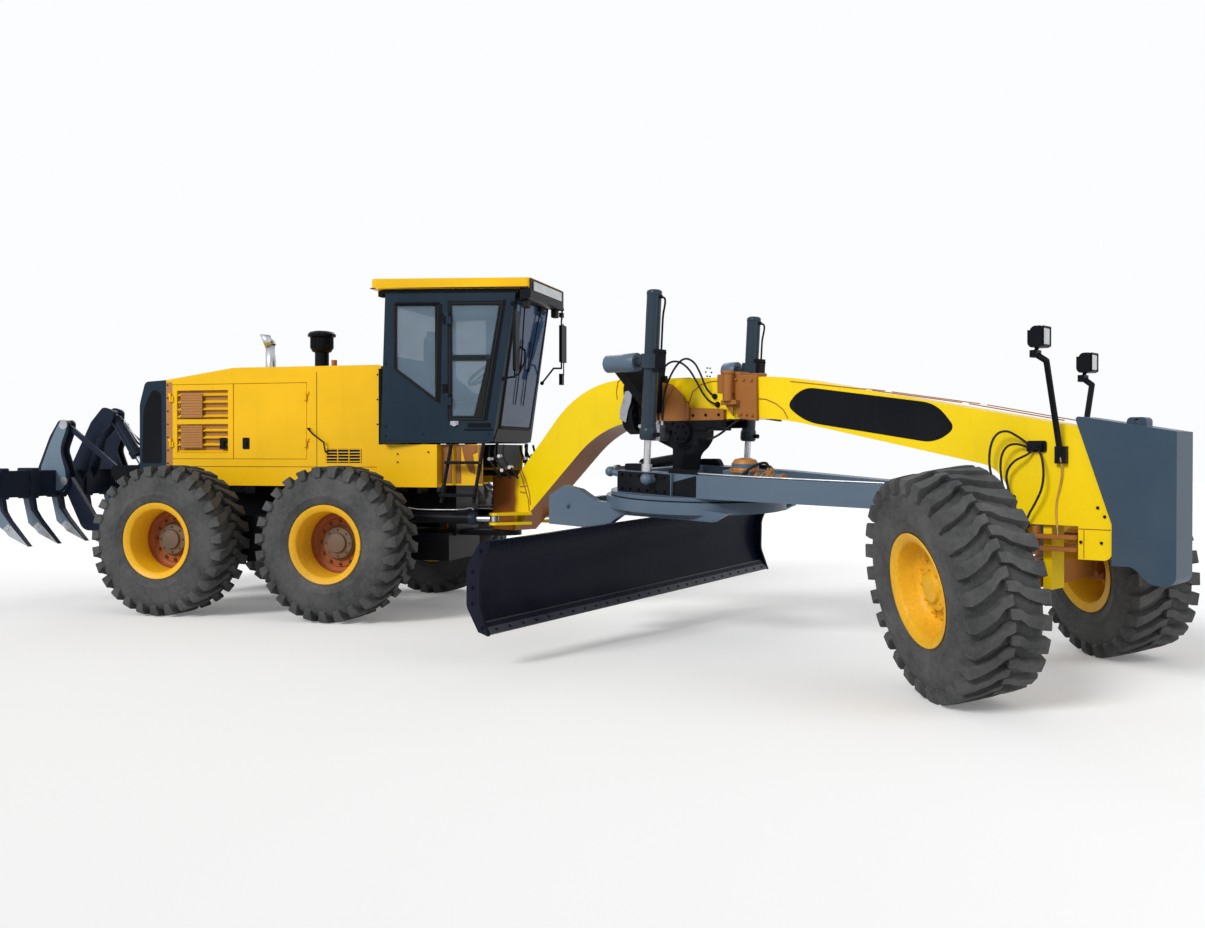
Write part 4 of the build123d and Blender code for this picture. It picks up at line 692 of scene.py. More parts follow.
screen_seal = bmesh.new()
bead(screen_seal, [(0.002, y, z) for y, z in SCREEN], 0.016, closed=True)
piece("windscreen_seal", screen_seal, REAR @ SCREEN_SHEAR, "trim", "rear_machine", smooth=True)
pane = prism([(y * 0.975, z + (0.02 if z < 2 else -0.02)) for y, z in SCREEN], "x", 0.004, 0.008)
piece("windscreen_pane", pane, REAR @ SCREEN_SHEAR, "screen_glass", "rear_machine")
panel = prism(rounded([(-0.56, 1.72, 0.03), (0.56, 1.72, 0.03), (0.5, 1.85, 0.01), (-0.5, 1.85, 0.01)]), "x", 0.002,
    0.007)
piece("front_panel", panel, REAR @ SCREEN_SHEAR, "black", "rear_machine", bevel=0.001)
wipers = bmesh.new()
for y, lean in ((-0.3, 0.14), (0.2, -0.12)):
    add_rod(wipers, (0.03, y, 3.1), (0.035, y + lean, 2.45), 0.008, sides=8)
    add_rod(wipers, (0.022, y + lean - 0.01, 2.75), (0.022, y + lean + 0.02, 2.1), 0.006, sides=8)
    add_box(wipers, (0.006, 0.05), span(y, 0.035), (3.08, 3.13))
piece("wipers", wipers, REAR @ SCREEN_SHEAR, "trim", "rear_machine", smooth=True)

visor = prism([(0.463, 3.325), (0.463, 3.14), (0.43, 3.12), (0.35, 3.12), (0.35, 3.229), (0.455, 3.229),
    (0.455, 3.325)], "y", -0.54, 0.54)
piece("roof_visor", visor, REAR, "black", "rear_machine", bevel=0.012)
strip = prism(rounded([(0.465, 3.3, 0.003), (0.465, 3.21, 0.003), (0.474, 3.21, 0.003), (0.474, 3.3, 0.003)]), "y",
    -0.46, 0.44)
piece("light_strip", strip, REAR, "lens", "rear_machine", bevel=0.002)
work_lamps = bmesh.new()
for y in (-0.46, 0.46):
    add_box(work_lamps, (0.36, 0.42), span(y, 0.05), (3.04, 3.12))
for x, y in ((-1.06, -0.66), (-1.06, 0.66)):
    add_box(work_lamps, span(x, 0.03), span(y, 0.05), (3.17, 3.228))
piece("work_lamps", work_lamps, REAR, "trim", "rear_machine", bevel=0.008)
roof_edge = bmesh.new()
for side in (-1, 1):
    bead(roof_edge, [(-1.1, side * 0.85, 3.236), (0.44, side * 0.545, 3.236)], 0.006)
piece("roof_drip_edge", roof_edge, REAR, "trim", "rear_machine", smooth=True)


def mirror_mesh(top, bottom, head, head_size):
    """Mirror head on a looped tube arm between its two brackets."""
    mesh = bmesh.new()
    back = head[0] - 0.02
    x, y, z = head
    wide, high = head_size
    outline = rounded_rect(y - wide, y + wide, z - high, z + high, 0.02)
    add_mesh(mesh, prism(outline, "x", back, x + 0.012))
    add_rod(mesh, (back, y, z - high - 0.06), (back, y, z + high + 0.06), 0.009, sides=10)
    for bracket, end in ((top, (back, y, z + high + 0.06)), (bottom, (back, y, z - high - 0.06))):
        middle = Vector(bracket).lerp(Vector(end), 0.6)
        middle.z = end[2]
        bead(mesh, [bracket, tuple(middle), end], 0.01)
        bmesh.ops.create_uvsphere(mesh, u_segments=10, v_segments=8, radius=0.022, matrix=Matrix.Translation(bracket))
    return mesh


mirror = mirror_mesh((0.285, -0.56, 3.08), (0.2, -0.585, 2.34), (0.36, -0.66, 2.7), (0.055, 0.29))
bead(mirror, [(0.35, -0.58, 2.66), (0.4, -0.53, 2.62), (0.4, -0.53, 2.5), (0.36, -0.6, 2.38), (0.34, -0.65, 2.36)],
    0.01)
piece("mirror_right", mirror, REAR, "black", "rear_machine", smooth=True)
mirror = mirror_mesh((0.44, 0.56, 3.14), (0.2, 0.6, 2.36), (0.42, 0.66, 2.78), (0.085, 0.2))
for z, high in ((3.09, 0.025), (2.4, 0.06)):
    add_box(mirror, (0.385, 0.42), (0.62, 0.69), (z - high, z + high))
bead(mirror, [(0.4, 0.72, 3.0), (0.4, 0.74, 2.95), (0.4, 0.74, 2.45), (0.4, 0.7, 2.4)], 0.007)
piece("mirror_left", mirror, REAR, "black", "rear_machine", smooth=True)


# Seat: cushion, backrest and headrest on a sprung base
def cushion(size, crown, seams):
    """Crowned pad: a subdivided block whose sides pull in and whose top swells between sewn channels."""
    mesh = bmesh.new()
    bmesh.ops.create_cube(mesh, size=2.0)
    bmesh.ops.subdivide_edges(mesh, edges=mesh.edges, cuts=11, use_grid_fill=True)
    for vertex in mesh.verts:
        x, y, z = vertex.co
        swell = (1 - x ** 4) * (1 - y ** 4)
        round_off = 1 - 0.1 * (abs(z) ** 4) * (abs(x) ** 6 + abs(y) ** 6)
        channel = sum(0.09 * max(0.0, 1 - abs(y - seam) / 0.1) for seam in seams) if z > 0 else 0.0
        vertex.co = Vector((x * size[0] * round_off, y * size[1] * round_off,
            z * size[2] * (1 + crown * swell * (z > 0) - channel * swell)))
    return mesh


for name, place, size, seams in [
        ("seat_cushion", Matrix.Translation((-0.535, 0, 2.185)), (0.215, 0.235, 0.045), (-0.45, 0.0, 0.45)),
        ("seat_backrest", Matrix.Translation((-0.79, 0, 2.51)) @ Matrix.Rotation(radians(90), 4, "Y"),
        (0.3, 0.22, 0.036), (-0.45, 0.45)),
        ("seat_headrest", Matrix.Translation((-0.79, 0, 2.83)) @ Matrix.Rotation(radians(90), 4, "Y"),
        (0.045, 0.13, 0.036), ())]:
    pad = piece(name, cushion(size, 0.12, seams), REAR @ place, "trim", "rear_machine", smooth=True,
        replaced=["seat"])
    smoother = pad.modifiers.new("smooth", "SUBSURF")
    smoother.levels = smoother.render_levels = 1
base = bmesh.new()
for low, wide in ((1.765, 0.17), (1.86, 0.14), (1.95, 0.13), (2.04, 0.15)):
    add_box(base, (-0.53 - wide, -0.53 + wide), (-wide, wide), (low, low + 0.07))
add_box(base, (-0.75, -0.32), (-0.2, 0.2), (2.112, 2.14))
piece("seat_base", base, REAR, "trim", "rear_machine", bevel=0.012)

# Hood: latches, grille, seams, grips, louvre screens, a black sheet painting the shade of a recess in the cowl,
# exhaust and air intake
for side_name, side in SIDES.items():
    turn = REAR @ flipped(side)
    for x, door in ((-2.64, "plain_door"), (-2.91, "louvre_door")):
        latch = prism(rounded_rect(x - 0.04, x + 0.04, 1.65, 1.77, 0.012),
            "y", -0.628, -0.618)
        add_box(latch, span(x, 0.018), (-0.64, -0.626), (1.68, 1.74))
        piece(f"{door}_latch_{side_name}", latch, turn, "black", f"{door}_{side_name}", bevel=0.003)
    grille = bmesh.new()
    add_mesh(grille, prism(rounded_rect(-1.72, -1.32, 1.51, 1.655, 0.01), "y", -0.623, -0.619))
    piece(f"grille_back_{side_name}", grille, turn, "black", "rear_machine")
    bars = bmesh.new()
    for step in range(5):
        z = 1.52 + step * 0.031
        add_box(bars, (-1.71, -1.33), (-0.63, -0.62), (z, z + 0.009))
    for step in range(4):
        x = -1.715 + step * 0.128
        add_box(bars, (x, x + 0.01), (-0.631, -0.62), (1.51, 1.655))
    piece(f"grille_bars_{side_name}", bars, turn, "yellow", "rear_machine", bevel=0.002)
    seams = bmesh.new()
    add_box(seams, (-1.824, -1.818), (-0.6215, -0.6195), (1.28, 2.44))
    add_box(seams, (-3.6, -1.1), (-0.6215, -0.6195), (1.465, 1.47))
    add_box(seams, (-1.127, -1.097), (-0.6225, -0.6), (1.3, 2.46))
    piece(f"hood_seams_{side_name}", seams, turn, "black", "rear_machine", bevel=0.0005)
    rail = bmesh.new()
    bead(rail, [(-1.9, -0.62, 1.86), (-1.9, -0.665, 1.86), (-1.84, -0.665, 1.8), (-1.72, -0.665, 1.72),
        (-1.7, -0.665, 1.62), (-1.7, -0.62, 1.62)],
         0.008)
    piece(f"hood_grip_{side_name}", rail, turn, "black", "rear_machine", smooth=True)
    screen = bmesh.new()
    add_box(screen, (-3.465, -2.86), (-0.584, -0.58), (1.6, 2.28))
    for step in range(24):
        x = -3.46 + step * 0.026
        add_box(screen, (x, x + 0.008), (-0.588, -0.583), (1.6, 2.28))
    piece(f"louvre_screen_{side_name}", screen, turn, "motor", f"louvre_door_{side_name}")
    mesh_panels = bmesh.new()
    for low, high in ((1.66, 1.9), (1.98, 2.24)):
        add_box(mesh_panels, (-3.42, -3.16), (-0.623, -0.619), (low, high))
        for step in range(9):
            z = low + (high - low) * (step + 0.5) / 9
            add_box(mesh_panels, (-3.42, -3.16), (-0.63, -0.622), span(z, 0.005))
    piece(f"louvre_mesh_{side_name}", mesh_panels, turn, "motor", f"louvre_door_{side_name}", bevel=0.001)
    # Painted shade: a flat black sheet stands for the shade in a recess of the cowl.
    recess_shade = prism(rounded([(-3.9, 1.5, 0.03), (-3.66, 1.5, 0.03), (-3.66, 2.24, 0.04), (-3.76, 2.3, 0.06),
        (-3.88, 2.1, 0.1)]), "y", -0.6225, -0.619)
    piece(f"cowl_recess_shade_{side_name}", recess_shade, turn, "black", "rear_machine", bevel=0.001)
    band = bmesh.new()
    add_box(band, (-3.6, -3.525), (-0.622, -0.619), (1.45, 2.36))
    piece(f"cowl_band_{side_name}", band, turn, "motor", "rear_machine", bevel=0.001)
    rivets = bmesh.new()
    add_nuts(rivets, row((-3.58, -0.622, 1.5), (-3.58, -0.622, 2.33), 7) + row((-1.14, -0.62, 1.4),
        (-1.14, -0.62, 2.4), 5), (0, -1, 0), 0.008)
    add_nuts(rivets, [(-0.88, -0.7, 1.6), (-0.88, -0.7, 1.52), (-0.55, -0.7, 1.62)], (0, -1, 0), 0.009)
    piece(f"hood_rivets_{side_name}", rivets, turn, "black", "rear_machine", smooth=True)

# Step bay behind the ladder: brown plates on the yellow panels are painted shade of the recessed bay.
BAY_SIDE = 0.604
bay_shade = bmesh.new()
for side in (-1, 1):
    for low, high in ((-0.452, -0.34), (-0.3, -0.245), (-0.06, -0.022)):
        add_box(bay_shade, (low, high), span(side * BAY_SIDE, 0.003), (1.31, 1.69))
    slab(bay_shade, [(-0.24, 1.69), (-0.07, 1.69), (-0.07, 1.62), (-0.12, 1.6), (-0.09, 1.4), (-0.15, 1.42),
        (-0.2, 1.52)], side * BAY_SIDE, 0.003)
piece("step_bay_painted_shade", bay_shade, REAR, "cheek_brown", "rear_machine", bevel=0.001)
for side_name, side in SIDES.items():
    turn = REAR @ flipped(side)
    for number, (low, high) in enumerate(((0.0, 0.1), (0.06, 0.2), (0.15, 0.28)), 1):
        hose(f"cab_pipe_{side_name}_{number}", [(low, -0.45, 1.69), (low, -0.5, 1.6), ((low + high) / 2, -0.53, 1.5),
            (high, -0.5, 1.42), (high, -0.4, 1.36)],
             0.012, "hose", "rear_machine", turn)
    clips = bmesh.new()
    for x, z in ((0.03, 1.55), (0.13, 1.58), (0.16, 1.44), (0.24, 1.47)):
        add_rod(clips, (x, -0.46, z), (x, -0.54, z), 0.018, sides=10)
    piece(f"cab_pipe_clips_{side_name}", clips, turn, "steel", "rear_machine", smooth=True)

pipe = lathe([(0.055, 2.5), (0.07, 2.502), (0.07, 2.53), (0.056, 2.535), (0.056, 2.78)], 40, axis="Z")
cut = lathe([(0.056, 0.0), (0.056, 0.19)], 40, axis="Z")
bmesh.ops.bisect_plane(cut, geom=cut.verts[:] + cut.edges[:] + cut.faces[:], plane_co=(0, 0, 0.14),
    plane_no=(0.55, 0, 0.83), clear_outer=True)
add_mesh(pipe, cut, Matrix.Translation((0, 0, 2.775)) @ Matrix.Rotation(radians(-25), 4, "Y"))
bmesh.ops.remove_doubles(pipe, verts=pipe.verts, dist=1e-4)
exhaust = piece("exhaust_pipe", pipe, REAR @ Matrix.Translation((-2.72, 0, 0)), "chrome", "rear_machine", smooth=True,
    replaced=["exhaust"])
wall = exhaust.modifiers.new("wall", "SOLIDIFY")
wall.thickness = 0.004
bowl = lathe([(0.0, 2.5), (0.085, 2.5), (0.09, 2.53), (0.075, 2.54), (0.075, 2.69), (0.1, 2.7), (0.118, 2.73),
    (0.118, 2.85), (0.148, 2.862), (0.15, 2.885), (0.13, 2.91), (0.07, 2.924), (0.0, 2.925)], 48, axis="Z")
for x, y in ring(24, 0.119):
    add_rod(bowl, (x, y, 2.735), (x, y, 2.85), 0.005, sides=6)
piece("precleaner_bowl", bowl, REAR @ Matrix.Translation((-2.1, 0, 0)), "black", "rear_machine", smooth=True,
    replaced=["precleaner"])
intake_cap = lathe([(0.0, 2.6), (0.03, 2.6), (0.03, 2.5), (0.045, 2.5)], 24, axis="Z")
piece("hood_filler_cap", intake_cap, REAR @ Matrix.Translation((-1.9, -0.1, 0)), "rust_brown", "rear_machine",
    smooth=True)

# Gooseneck: badge plate, weld beads, bolts, brackets, clamp and the hose loops on its right side
NECK_SIDE = -0.15
# Weld beads lie this far out, on the neck's two sides
BEAD_SIDE = 0.151
badge_outline = rounded([(3.57, 2.0, 0.06), (3.7, 2.155, 0.14), (4.9, 1.985, 0.12), (5.05, 1.8, 0.06),
    (4.9, 1.685, 0.12), (3.74, 1.865, 0.14)], 8)
badge = prism(badge_outline, "y", NECK_SIDE - 0.003, NECK_SIDE + 0.001)
piece("badge_plate", badge, FRONT, "black", "front_frame", bevel=0.001)

welds = bmesh.new()
for points in ([(3.25, 2.07), (3.36, 2.06), (3.46, 2.02), (3.53, 1.97), (3.575, 1.9)],
        [(1.69, 2.11), (1.68, 2.18), (1.7, 2.27), (1.74, 2.3)]):
    bead(welds, [(x, NECK_SIDE - 0.001, z) for x, z in points], 0.005)
for side in (-1, 1):
    for low, high in (((3.6, 2.2), (4.3, 2.11)), ((4.36, 2.1), (5.1, 1.985)), ((5.16, 1.975), (5.86, 1.84))):
        bead(welds, [(low[0], side * BEAD_SIDE, low[1]), (high[0], side * BEAD_SIDE, high[1])], 0.004)
    bead(welds, [(5.93, side * BEAD_SIDE, 1.09), (6.18, side * BEAD_SIDE, 1.09)], 0.003)
    for run in ([(0.38, 1.42), (0.42, 1.34), (0.5, 1.15), (0.514, 1.036)],
            [(0.4, 1.44), (0.47, 1.33), (0.52, 1.2), (0.53, 1.1)], [(0.39, 1.272), (0.47, 1.28)],
            [(0.39, 1.22), (0.46, 1.21)]):
        bead(welds, [(x, side * BEAD_SIDE, z) for x, z in run], 0.006)
    bead(welds, [(6.0, side * BEAD_SIDE, 1.08), (6.0, side * BEAD_SIDE, 0.89)], 0.003)
piece("neck_welds", welds, FRONT, "rust_brown", "front_frame", smooth=True)
neck_bolts = bmesh.new()
for side in (-1, 1):
    add_nuts(neck_bolts, [(6.094, side * BEAD_SIDE, 1.24), (6.14, side * BEAD_SIDE, 1.18),
        (5.98, side * BEAD_SIDE, 1.0), (6.12, side * BEAD_SIDE, 1.0)],
        (0, side, 0), 0.011)
piece("neck_bolts", neck_bolts, FRONT, "black", "front_frame", smooth=True)
brackets = bmesh.new()
for side in (-1, 1):
    for low, high in ((1.015, 1.045), (0.93, 0.96)):
        add_box(brackets, (5.66, 5.955), span(side * 0.165, 0.04), (low, high))
    add_box(brackets, (5.655, 5.69), span(side * 0.165, 0.03), (0.9, 1.1))
piece("nose_brackets", brackets, FRONT, "rust_brown", "front_frame", bevel=0.004)
clamp = bmesh.new()
add_mesh(clamp, prism(rounded_rect(5.6, 5.74, 1.62, 1.7, 0.02), "y", -0.17, -0.15))
add_box(clamp, (5.62, 5.72), (-0.2, -0.168), (1.635, 1.685))
add_nuts(clamp, [(5.64, -0.2, 1.66), (5.7, -0.2, 1.66)], (0, -1, 0), 0.01)
piece("hose_clamp", clamp, FRONT, "black", "front_frame", bevel=0.003)
fittings = bmesh.new()
for x, z in ((5.63, 1.02), (5.605, 1.1), (5.57, 1.16), (5.5, 1.3)):
    add_rod(fittings, (x, -0.2, z), (x, -0.15, z), 0.016, sides=12)
    add_rod(fittings, (x, -0.195, z), (x, -0.175, z), 0.021, sides=6)
piece("neck_fittings", fittings, FRONT, "black", "front_frame", smooth=True)
FRONT_HOSES = [
    [(5.63, -0.178, 1.668), (5.59, -0.19, 1.7), (5.55, -0.22, 1.735), (5.49, -0.25, 1.775), (5.41, -0.26, 1.75),
    (5.365, -0.26, 1.64), (5.365, -0.255, 1.48), (5.42, -0.245, 1.36), (5.51, -0.235, 1.27), (5.58, -0.225, 1.17),
    (5.625, -0.215, 1.07), (5.63, -0.2, 1.02)],
    [(5.63, -0.178, 1.645), (5.59, -0.19, 1.665), (5.54, -0.22, 1.68), (5.49, -0.245, 1.665), (5.45, -0.25, 1.6),
    (5.44, -0.245, 1.49), (5.46, -0.235, 1.35), (5.52, -0.22, 1.24), (5.57, -0.2, 1.16)],
    [(5.655, -0.178, 1.64), (5.63, -0.19, 1.61), (5.6, -0.215, 1.59), (5.54, -0.235, 1.56), (5.48, -0.225, 1.49),
    (5.47, -0.21, 1.4), (5.5, -0.2, 1.3)],
    [(5.69, -0.178, 1.64), (5.71, -0.19, 1.61), (5.735, -0.22, 1.57), (5.755, -0.24, 1.48), (5.745, -0.24, 1.37),
    (5.69, -0.23, 1.26), (5.63, -0.215, 1.17), (5.605, -0.2, 1.1)]]
for number, points in enumerate(FRONT_HOSES, 1):
    loop_hose(f"front_hose_{number}", points, 0.0085, "front_frame", FRONT)
cable_run = [(5.85, -0.2, 1.6), (5.862, -0.18, 1.5), (5.84, -0.165, 1.38), (5.81, -0.162, 1.27), (5.812, -0.16, 1.13),
    (5.825, -0.165, 1.04)]
hose("lamp_cable", cable_run, 0.006, "brass", "front_frame", FRONT)

# Lamps: lenses in a rim and a small guard over each
lenses = bmesh.new()
guards = bmesh.new()
for side, z in ((-1, 2.33), (1, 2.2)):
    add_mesh(lenses, prism(rounded_rect(side * 0.431 - 0.055, side * 0.431 + 0.055, z + 0.02, z + 0.13, 0.015), "x",
        5.845, 5.85))
    bead(guards, [(5.85, side * 0.431 - 0.06, z + 0.012), (5.85, side * 0.431 + 0.06, z + 0.012),
        (5.85, side * 0.431 + 0.06, z + 0.138), (5.85, side * 0.431 - 0.06, z + 0.138)], 0.007, closed=True)
    for step in range(4):
        y = side * 0.431 - 0.048 + step * 0.032
        add_box(guards, (5.735, 5.747), (y, y + 0.012), (z + 0.03, z + 0.12))
piece("lamp_lenses", lenses, FRONT, "lens", "front_frame", bevel=0.002)
piece("lamp_guards", guards, FRONT, "black", "front_frame", smooth=True)

# Lift cylinders: end rings, a line and ports down each barrel's front, and the studs of their sockets
SOCKET_Y, SOCKET_Z = 0.72, 2.385
for side_name, side in SIDES.items():
    joint = JOINTS[f"lift_barrel_{side_name}_swing"]
    top = {"right": 0.59, "left": 0.48}[side_name]
    rod_axis = Vector(JOINTS[f"lift_rod_{side_name}_slide"]["axis"])
    if rod_axis.z < 0:
        rod_axis = -rod_axis
    forward = (FRONT.to_3x3() @ Vector((1, 0, 0))).normalized()
    across = rod_axis.cross(forward).normalized()
    forward = across.cross(rod_axis)
    turn = Matrix.Translation(joint["pos_m"]) @ Matrix((forward, across, rod_axis)).transposed().to_4x4()
    glands = lathe([(0.0, top + 0.012), (0.045, top + 0.012), (0.058, top + 0.004), (0.0655, top - 0.006),
        (0.0655, top - 0.03), (0.0635, top - 0.034)], 48, axis="Z")
    add_mesh(glands, lathe([(0.0635, -0.56), (0.07, -0.57), (0.073, -0.59), (0.073, -0.645), (0.068, -0.655),
        (0.062, -0.656)], 48, axis="Z"))
    piece(f"lift_glands_{side_name}", glands, turn, "lift_slate", f"lift_barrel_{side_name}", smooth=True)
    line = [(0.05, 0, top - 0.05), (0.1, 0, top - 0.052), (0.125, 0, top - 0.075), (0.118, 0, top - 0.14),
        (0.104, 0, top - 0.2), (0.104, 0, 0.2), (0.104, 0, 0.1)]
    hose(f"lift_line_{side_name}", line, 0.009, "black", f"lift_barrel_{side_name}", turn)
    ports = bmesh.new()
    add_rod(ports, (0.055, 0, top - 0.05), (0.085, 0, top - 0.05), 0.016, sides=12)
    add_box(ports, (0.06, 0.122), (-0.045, 0.045), (-0.09, 0.1))
    add_rod(ports, (0.06, 0, -0.615), (0.105, 0, -0.615), 0.018, sides=12)
    add_rod(ports, (0.1, 0, -0.615), (0.115, 0, -0.615), 0.022, sides=6)
    add_nuts(ports, [(0.122, y, z) for y in (-0.03, 0.03) for z in (-0.06, 0.07)], (1, 0, 0), 0.009)
    piece(f"lift_ports_{side_name}", ports, turn, "black", f"lift_barrel_{side_name}", bevel=0.003)
    studs = bmesh.new()
    add_nuts(studs, [(2.089, side * SOCKET_Y + y, SOCKET_Z + z) for y, z in ring(6, 0.045)], (-1, 0, 0), 0.008)
    piece(f"socket_studs_{side_name}", studs, FRONT, "black", "front_frame", smooth=True)

# Saddle: its own finer casting with two yoke halves, arms to the sockets, column and ears for the shift cylinder
saddle = prism(rounded([(2.08, 1.84, 0.0), (2.6, 1.84, 0.0), (2.6, 1.74, 0.03), (2.55, 1.665, 0.04),
    (2.46, 1.6, 0.05), (2.44, 1.45, 0.02), (2.335, 1.45, 0.01), (2.335, 1.65, 0.01), (2.16, 1.72, 0.03),
    (2.08, 1.82, 0.0)]), "y", -0.13, 0.13)
YOKE = [(0.153, 1.78, 0.0), (0.25, 1.84, 0.05), (0.285, 1.98, 0.03), (0.24, 2.06, 0.03), (0.25, 2.22, 0.03),
    (0.153, 2.335, 0.0)]
FAR_ARM = [(0.78, 2.31, 0.02), (0.7, 2.27, 0.03), (0.3, 1.98, 0.06), (0.153, 1.96, 0.0), (0.153, 2.2, 0.0),
    (0.6, 2.3, 0.05), (0.77, 2.36, 0.02)]
ARM = [(0.78, 2.36, 0.02), (0.7, 2.31, 0.03), (0.3, 1.98, 0.06), (0.153, 1.96, 0.0), (0.153, 2.34, 0.0),
    (0.6, 2.425, 0.05), (0.77, 2.425, 0.03)]
for side in (-1, 1):
    add_mesh(saddle, prism([(side * y, z) for y, z in rounded(YOKE)], "x", 1.85, 1.98))
    arm = rounded(ARM) if side < 0 else rounded(FAR_ARM)
    add_mesh(saddle, prism([(side * y, z) for y, z in arm], "x", 2.15 if side < 0 else 2.3,
        2.27 if side < 0 else 2.4))
    add_box(saddle, (1.98, 2.3), span(side * 0.171, 0.018), (1.85, 2.3))
    add_box(saddle, (1.85, 2.95), span(side * 0.171, 0.018), (1.83, 1.9))
add_box(saddle, (1.85, 1.98), (-0.19, 0.19), (2.305, 2.345))
add_box(saddle, (1.85, 2.75), (-0.19, 0.19), (1.81, 1.865))
shift_pin = FRONT.inverted() @ Vector(JOINTS["shift_barrel_swing"]["pos_m"])
for side in (-1, 1):
    x = shift_pin.x + side * 0.047
    ear = [(0.17, 1.8, 0), (0.17, 2.0, 0), (0.62, 1.68, 0.06), (0.62, 1.51, 0.05), (0.505, 1.51, 0.04),
        (0.495, 1.67, 0.06)]
    add_mesh(saddle, prism(rounded(ear), "x", x - 0.013, x + 0.013))
add_rod(saddle, (shift_pin.x - 0.066, 0.56, 1.57), (shift_pin.x + 0.066, 0.56, 1.57), 0.025)
piece("saddle_casting", saddle, FRONT, "black", "front_frame", bevel=0.004, replaced=["saddle"])
sleeves = bmesh.new()
for side in (-1, 1):
    place = Matrix.Translation((0, side * SOCKET_Y, SOCKET_Z)) @ Matrix.Rotation(radians(-90), 4, "Z")
    start = 2.09 if side < 0 else 2.28
    add_mesh(sleeves, lathe([(0.0, start), (0.07, start), (0.078, start + 0.008), (0.078, max(start + 0.01, 2.27)),
        (0.0815, 2.295), (0.0815, 2.43), (0.076, 2.437), (0.04, 2.437), (0.04, 2.3), (0.0, 2.3)], 48), place)
piece("lift_sleeves", sleeves, FRONT, "blue_grey", "front_frame", smooth=True)
# Painted shadow: brown plates on the neck's sides stand for the shadow of the lift cylinders' collars on the yellow
# paint.
plates = bmesh.new()
for side in (-1, 1):
    outline = [(2.2, 2.255), (2.387, 2.219), (2.504, 2.125), (2.537, 2.01), (2.95, 1.99), (2.95, 1.895), (2.2, 1.895)]
    slab(plates, outline, side * 0.1915, 0.0035)
    add_box(plates, (2.5, 2.95), span(side * 0.17, 0.018), (1.9, 1.985))
    bead(plates, [(2.57, side * 0.21, 1.92), (2.57, side * 0.21, 2.05)], 0.02)
piece("saddle_shadow_plates", plates, FRONT, "cheek_brown", "front_frame", bevel=0.002)
yoke_edge = bmesh.new()
SILVER = [(1.849, 2.169), (1.938, 2.179), (1.92, 2.073), (1.885, 1.994), (1.858, 1.888), (1.786, 1.916),
    (1.786, 1.997)]
for side in (-1, 1):
    slab(yoke_edge, [(x + 0.06, z) for x, z in SILVER], side * 0.288, 0.003)
piece("yoke_edges", yoke_edge, FRONT, "worn_steel", "front_frame", bevel=0.001)
saddle_bolts = bmesh.new()
for side in (-1, 1):
    add_nuts(saddle_bolts, row((2.62, side * 0.189, 1.94), (2.9, side * 0.189, 1.94),
        3) + row((2.02, side * 0.189, 1.87), (2.5, side * 0.189, 1.87), 5),
        (0, side, 0), 0.014)
    add_nuts(saddle_bolts, [(1.981, side * y, z) for y, z in ((0.2, 1.85), (0.24, 1.95), (0.2, 2.04), (0.21, 2.13),
        (0.2, 2.22), (0.175, 2.28))],
        (1, 0, 0), 0.015)
    add_nuts(saddle_bolts, [(1.849, side * y, z) for y, z in ((0.2, 1.85), (0.24, 1.95), (0.2, 2.13), (0.19, 2.22))],
        (-1, 0, 0), 0.015)
piece("saddle_bolts", saddle_bolts, FRONT, "black", "front_frame", smooth=True)
coupling = bmesh.new()
add_mesh(coupling, lathe([(0.0, 0.0), (0.09, 0.0), (0.1, 0.012), (0.1, 0.05), (0.085, 0.06), (0.085, 0.09),
    (0.0, 0.09)], 40),
    Matrix.Translation((2.5, -0.225, 1.79)))
add_nuts(coupling, [(2.5 + x, -0.226, 1.79 + z) for x, z in ring(6, 0.06)], (0, -1, 0), 0.012)
add_box(coupling, (2.4, 2.62), (-0.19, -0.12), (1.68, 1.88))
piece("saddle_coupling", coupling, FRONT, "black", "front_frame", bevel=0.003)
valves = bmesh.new()
for x, z in ((2.1, 1.85), (2.17, 1.83), (2.24, 1.855), (2.15, 1.79)):
    add_rod(valves, (x, -0.19, z), (x, -0.29, z), 0.022, sides=6)
    add_rod(valves, (x, -0.28, z), (x, -0.31, z), 0.016, sides=16)
    add_rod(valves, (x, -0.22, z), (x, -0.25, z), 0.028, sides=20)
piece("saddle_fittings", valves, FRONT, "steel", "front_frame", smooth=True)
block_valve = bmesh.new()
add_mesh(block_valve, prism(rounded_rect(2.2, 2.3, 1.72, 1.86, 0.008), "y", -0.27, -0.13))
for x in (2.225, 2.275):
    add_rod(block_valve, (x, -0.2, 1.85), (x, -0.2, 1.9), 0.014, sides=16)
    add_rod(block_valve, (x, -0.2, 1.86), (x, -0.2, 1.885), 0.02, sides=6)
add_nuts(block_valve, [(x, -0.271, z) for x in (2.22, 2.28) for z in (1.74, 1.84)], (0, -1, 0), 0.008)
piece("saddle_valve_block", block_valve, FRONT, "worn_steel", "front_frame", bevel=0.002)
SADDLE_HOSES = [
    [(2.225, -0.2, 1.9), (2.226, -0.205, 1.97), (2.25, -0.23, 2.1), (2.3, -0.28, 2.26), (2.4, -0.31, 2.39),
    (2.53, -0.32, 2.42), (2.64, -0.3, 2.36), (2.71, -0.27, 2.24), (2.75, -0.24, 2.14), (2.79, -0.21, 2.07),
    (2.83, -0.185, 2.04), (2.86, -0.165, 2.03)],
    [(2.275, -0.2, 1.9), (2.277, -0.205, 1.97), (2.31, -0.23, 2.08), (2.38, -0.27, 2.21), (2.49, -0.31, 2.34),
    (2.62, -0.33, 2.44), (2.73, -0.32, 2.4), (2.77, -0.28, 2.29), (2.78, -0.24, 2.2), (2.8, -0.2, 2.13),
    (2.83, -0.165, 2.1)]]
for number, points in enumerate(SADDLE_HOSES, 1):
    loop_hose(f"saddle_hose_{number}", points, 0.009, "front_frame", FRONT)
ends = bmesh.new()
